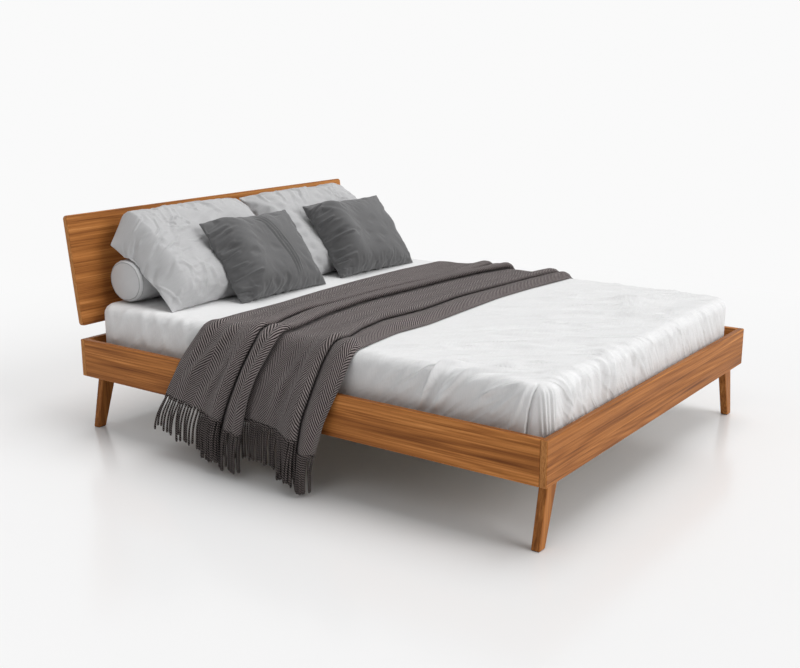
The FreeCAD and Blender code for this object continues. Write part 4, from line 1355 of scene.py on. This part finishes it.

# %% [markdown]
# ## The fringe
# The warp ends of the throw are twisted into cords and knotted close to the hem. One cord is modelled,
# a six sided tube with a knot, and copied along both hems; each copy leaves the cloth in the cloth's
# direction and then drops straight. The twist itself is in the finish, wound round each cord: its
# dark grooves and light crests are painted shade and painted highlight, over a bump for its relief.

# %% One cord
cord_length, cord_radius = 0.15, 0.0041
half_down = (0.0, 0.0, -cord_length / 2)
bpy.ops.object.select_all(action="DESELECT")
bpy.ops.mesh.primitive_cylinder_add(vertices=6, radius=cord_radius, depth=cord_length, location=half_down)
cord = bpy.context.object
cord.name = "throw_fringe_near"
bpy.ops.object.transform_apply(location=True, rotation=False, scale=False)
bpy.ops.object.mode_set(mode="EDIT")
for level in (0.004, 0.008, 0.013, 0.018, 0.030, 0.048, 0.068, 0.088, 0.108, 0.128, 0.142):
    bpy.ops.mesh.select_all(action="SELECT")
    bpy.ops.mesh.bisect(plane_co=(0.0, 0.0, -level), plane_no=(0.0, 0.0, 1.0))
bpy.ops.object.mode_set(mode="OBJECT")
place = points(cord)
strand = cord.data.attributes.new("strand", "FLOAT_VECTOR", "POINT")
strand.data.foreach_set("vector", place.ravel())
girth_levels = [0.0, 0.004, 0.008, 0.013, 0.018, 0.03, 0.128, 0.142, cord_length]
girths = [0.75, 1.25, 1.5, 1.2, 0.8, 1.0, 1.0, 1.2, 0.75]
place[:, :2] *= np.interp(-place[:, 2], girth_levels, girths)[:, None]
move_points(cord, place)
bpy.ops.object.shade_smooth()
cord_points = place.copy()
print("cord faces:", len(cord.data.polygons))

# %% Wool of the cords
cord_turn = 0.017
f = Finish("throw_cord_wool_painted_twist_shade")
own = f.add("SeparateXYZ", {0: f.add("Attribute", {}, attribute_name="strand").outputs["Vector"]})
round_it = f.math("ARCTAN2", own.outputs["Y"], own.outputs["X"])
wind = f.math("ADD", f.math("MULTIPLY", own.outputs["Z"], 2 * math.pi / cord_turn), round_it)
twist_relief_and_painted_shade = f.math("SINE", f.math("MULTIPLY", wind, 2.0))
fuzz = f.noise(f.add("TexCoord", {}).outputs["Object"], 700.0, 3.0)
# The ramp paints shade in the twist's grooves and a highlight on its crests, with a little random fuzz.
tone = f.math("ADD", f.span(twist_relief_and_painted_shade, -1.0, 1.0, 0.0, 0.8), f.span(fuzz, 0.3, 0.7, 0.0, 0.2))
f.set(Base_Color=f.ramp(tone, [(0.46, (0.007, 0.006, 0.006)), (0.84, (0.230, 0.195, 0.187))]))
f.set(Roughness=0.92, Sheen_Weight=0.04, Specular_IOR_Level=0.10)
cord.data.materials.append(f.set(Normal=f.bump(twist_relief_and_painted_shade, 0.8, 0.0015)))
print("cords turn once in", cord_turn, "m")


# %% How one cord hangs
def hang_cord(spot, hem, inner, out, rng):
    """Points of a cord at a spot of the hem: it leaves in the cloth's direction and then drops straight."""
    above_floor = 0.014
    root = np.array([np.interp(spot, across, hem[:, k]) for k in range(3)])
    before = np.array([np.interp(spot, across, inner[:, k]) for k in range(3)])
    way = (root - before) / np.linalg.norm(root - before)
    root = root + np.array([out * 0.0011, 0.0, 0.0]) - way * 0.004
    length = min(rng.normal(0.153, 0.007), root[2] - above_floor)
    loose = rng.normal(0, 0.04, 2)
    loose[0] = abs(loose[0]) * out
    loose[1] += 0.5 * math.exp(-spot / 0.06)
    steps = np.linspace(0.0, 1.0, 16)
    turn = smooth(steps / 0.7)[:, None]
    fall = way * (1 - turn) + np.array([0.0, 0.0, -1.0]) * turn
    fall[:, :2] += loose * np.sin(math.pi * steps)[:, None]
    fall /= np.linalg.norm(fall, axis=1, keepdims=True)
    fallen = np.cumsum(fall[:-1] * length / (len(steps) - 1), axis=0)
    line = root + np.concatenate([[[0.0, 0.0, 0.0]], fallen])
    down = -cord_points[:, 2] / cord_length
    spin = rng.uniform(0, 6.3)
    c, s = math.cos(spin), math.sin(spin)
    x = cord_points[:, 0] * c - cord_points[:, 1] * s
    y = cord_points[:, 0] * s + cord_points[:, 1] * c
    place = np.stack([np.interp(down, steps, line[:, k]) for k in range(3)], axis=1)
    place[:, :2] += np.stack([x, y], axis=1)
    return place


# %% Cords along both hems
def fringe(name, hem, inner, out, seed):
    """Copies of the cord along a hem; hem and inner are the last two rows of the cloth's points."""
    rng = np.random.default_rng(seed)
    copies = []
    spacing = 0.0100
    spots = np.arange(spacing / 2, across[-1], spacing)
    for spot in spots + rng.normal(0, 0.0010, len(spots)):
        one = cord.copy()
        one.data = cord.data.copy()
        scene.collection.objects.link(one)
        move_points(one, hang_cord(spot, hem, inner, out, rng))
        copies.append(one)
    bpy.ops.object.select_all(action="DESELECT")
    for one in copies:
        one.select_set(True)
    bpy.context.view_layer.objects.active = copies[0]
    bpy.ops.object.join()
    copies[0].name = name
    print(name, len(copies), "cords,", len(copies[0].data.polygons), "faces")
    return copies[0]


near_fringe = fringe("throw_near_fringe", hem_rows[rows], hem_rows[rows - 1], -1.0, 13)
far_fringe = fringe("throw_far_fringe", hem_rows[0], hem_rows[1], 1.0, 17)
bpy.data.objects.remove(cord)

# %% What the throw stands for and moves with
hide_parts("throw_cloth")
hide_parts("throw_fringe")
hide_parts("throw_fringe")
for piece in (throw, near_fringe, far_fringe):
    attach(piece, "throw")
    print(piece.name, box_of(piece))

# %% [markdown]
# ## Last step

# %% Clearing the selection
bpy.ops.object.select_all(action="DESELECT")
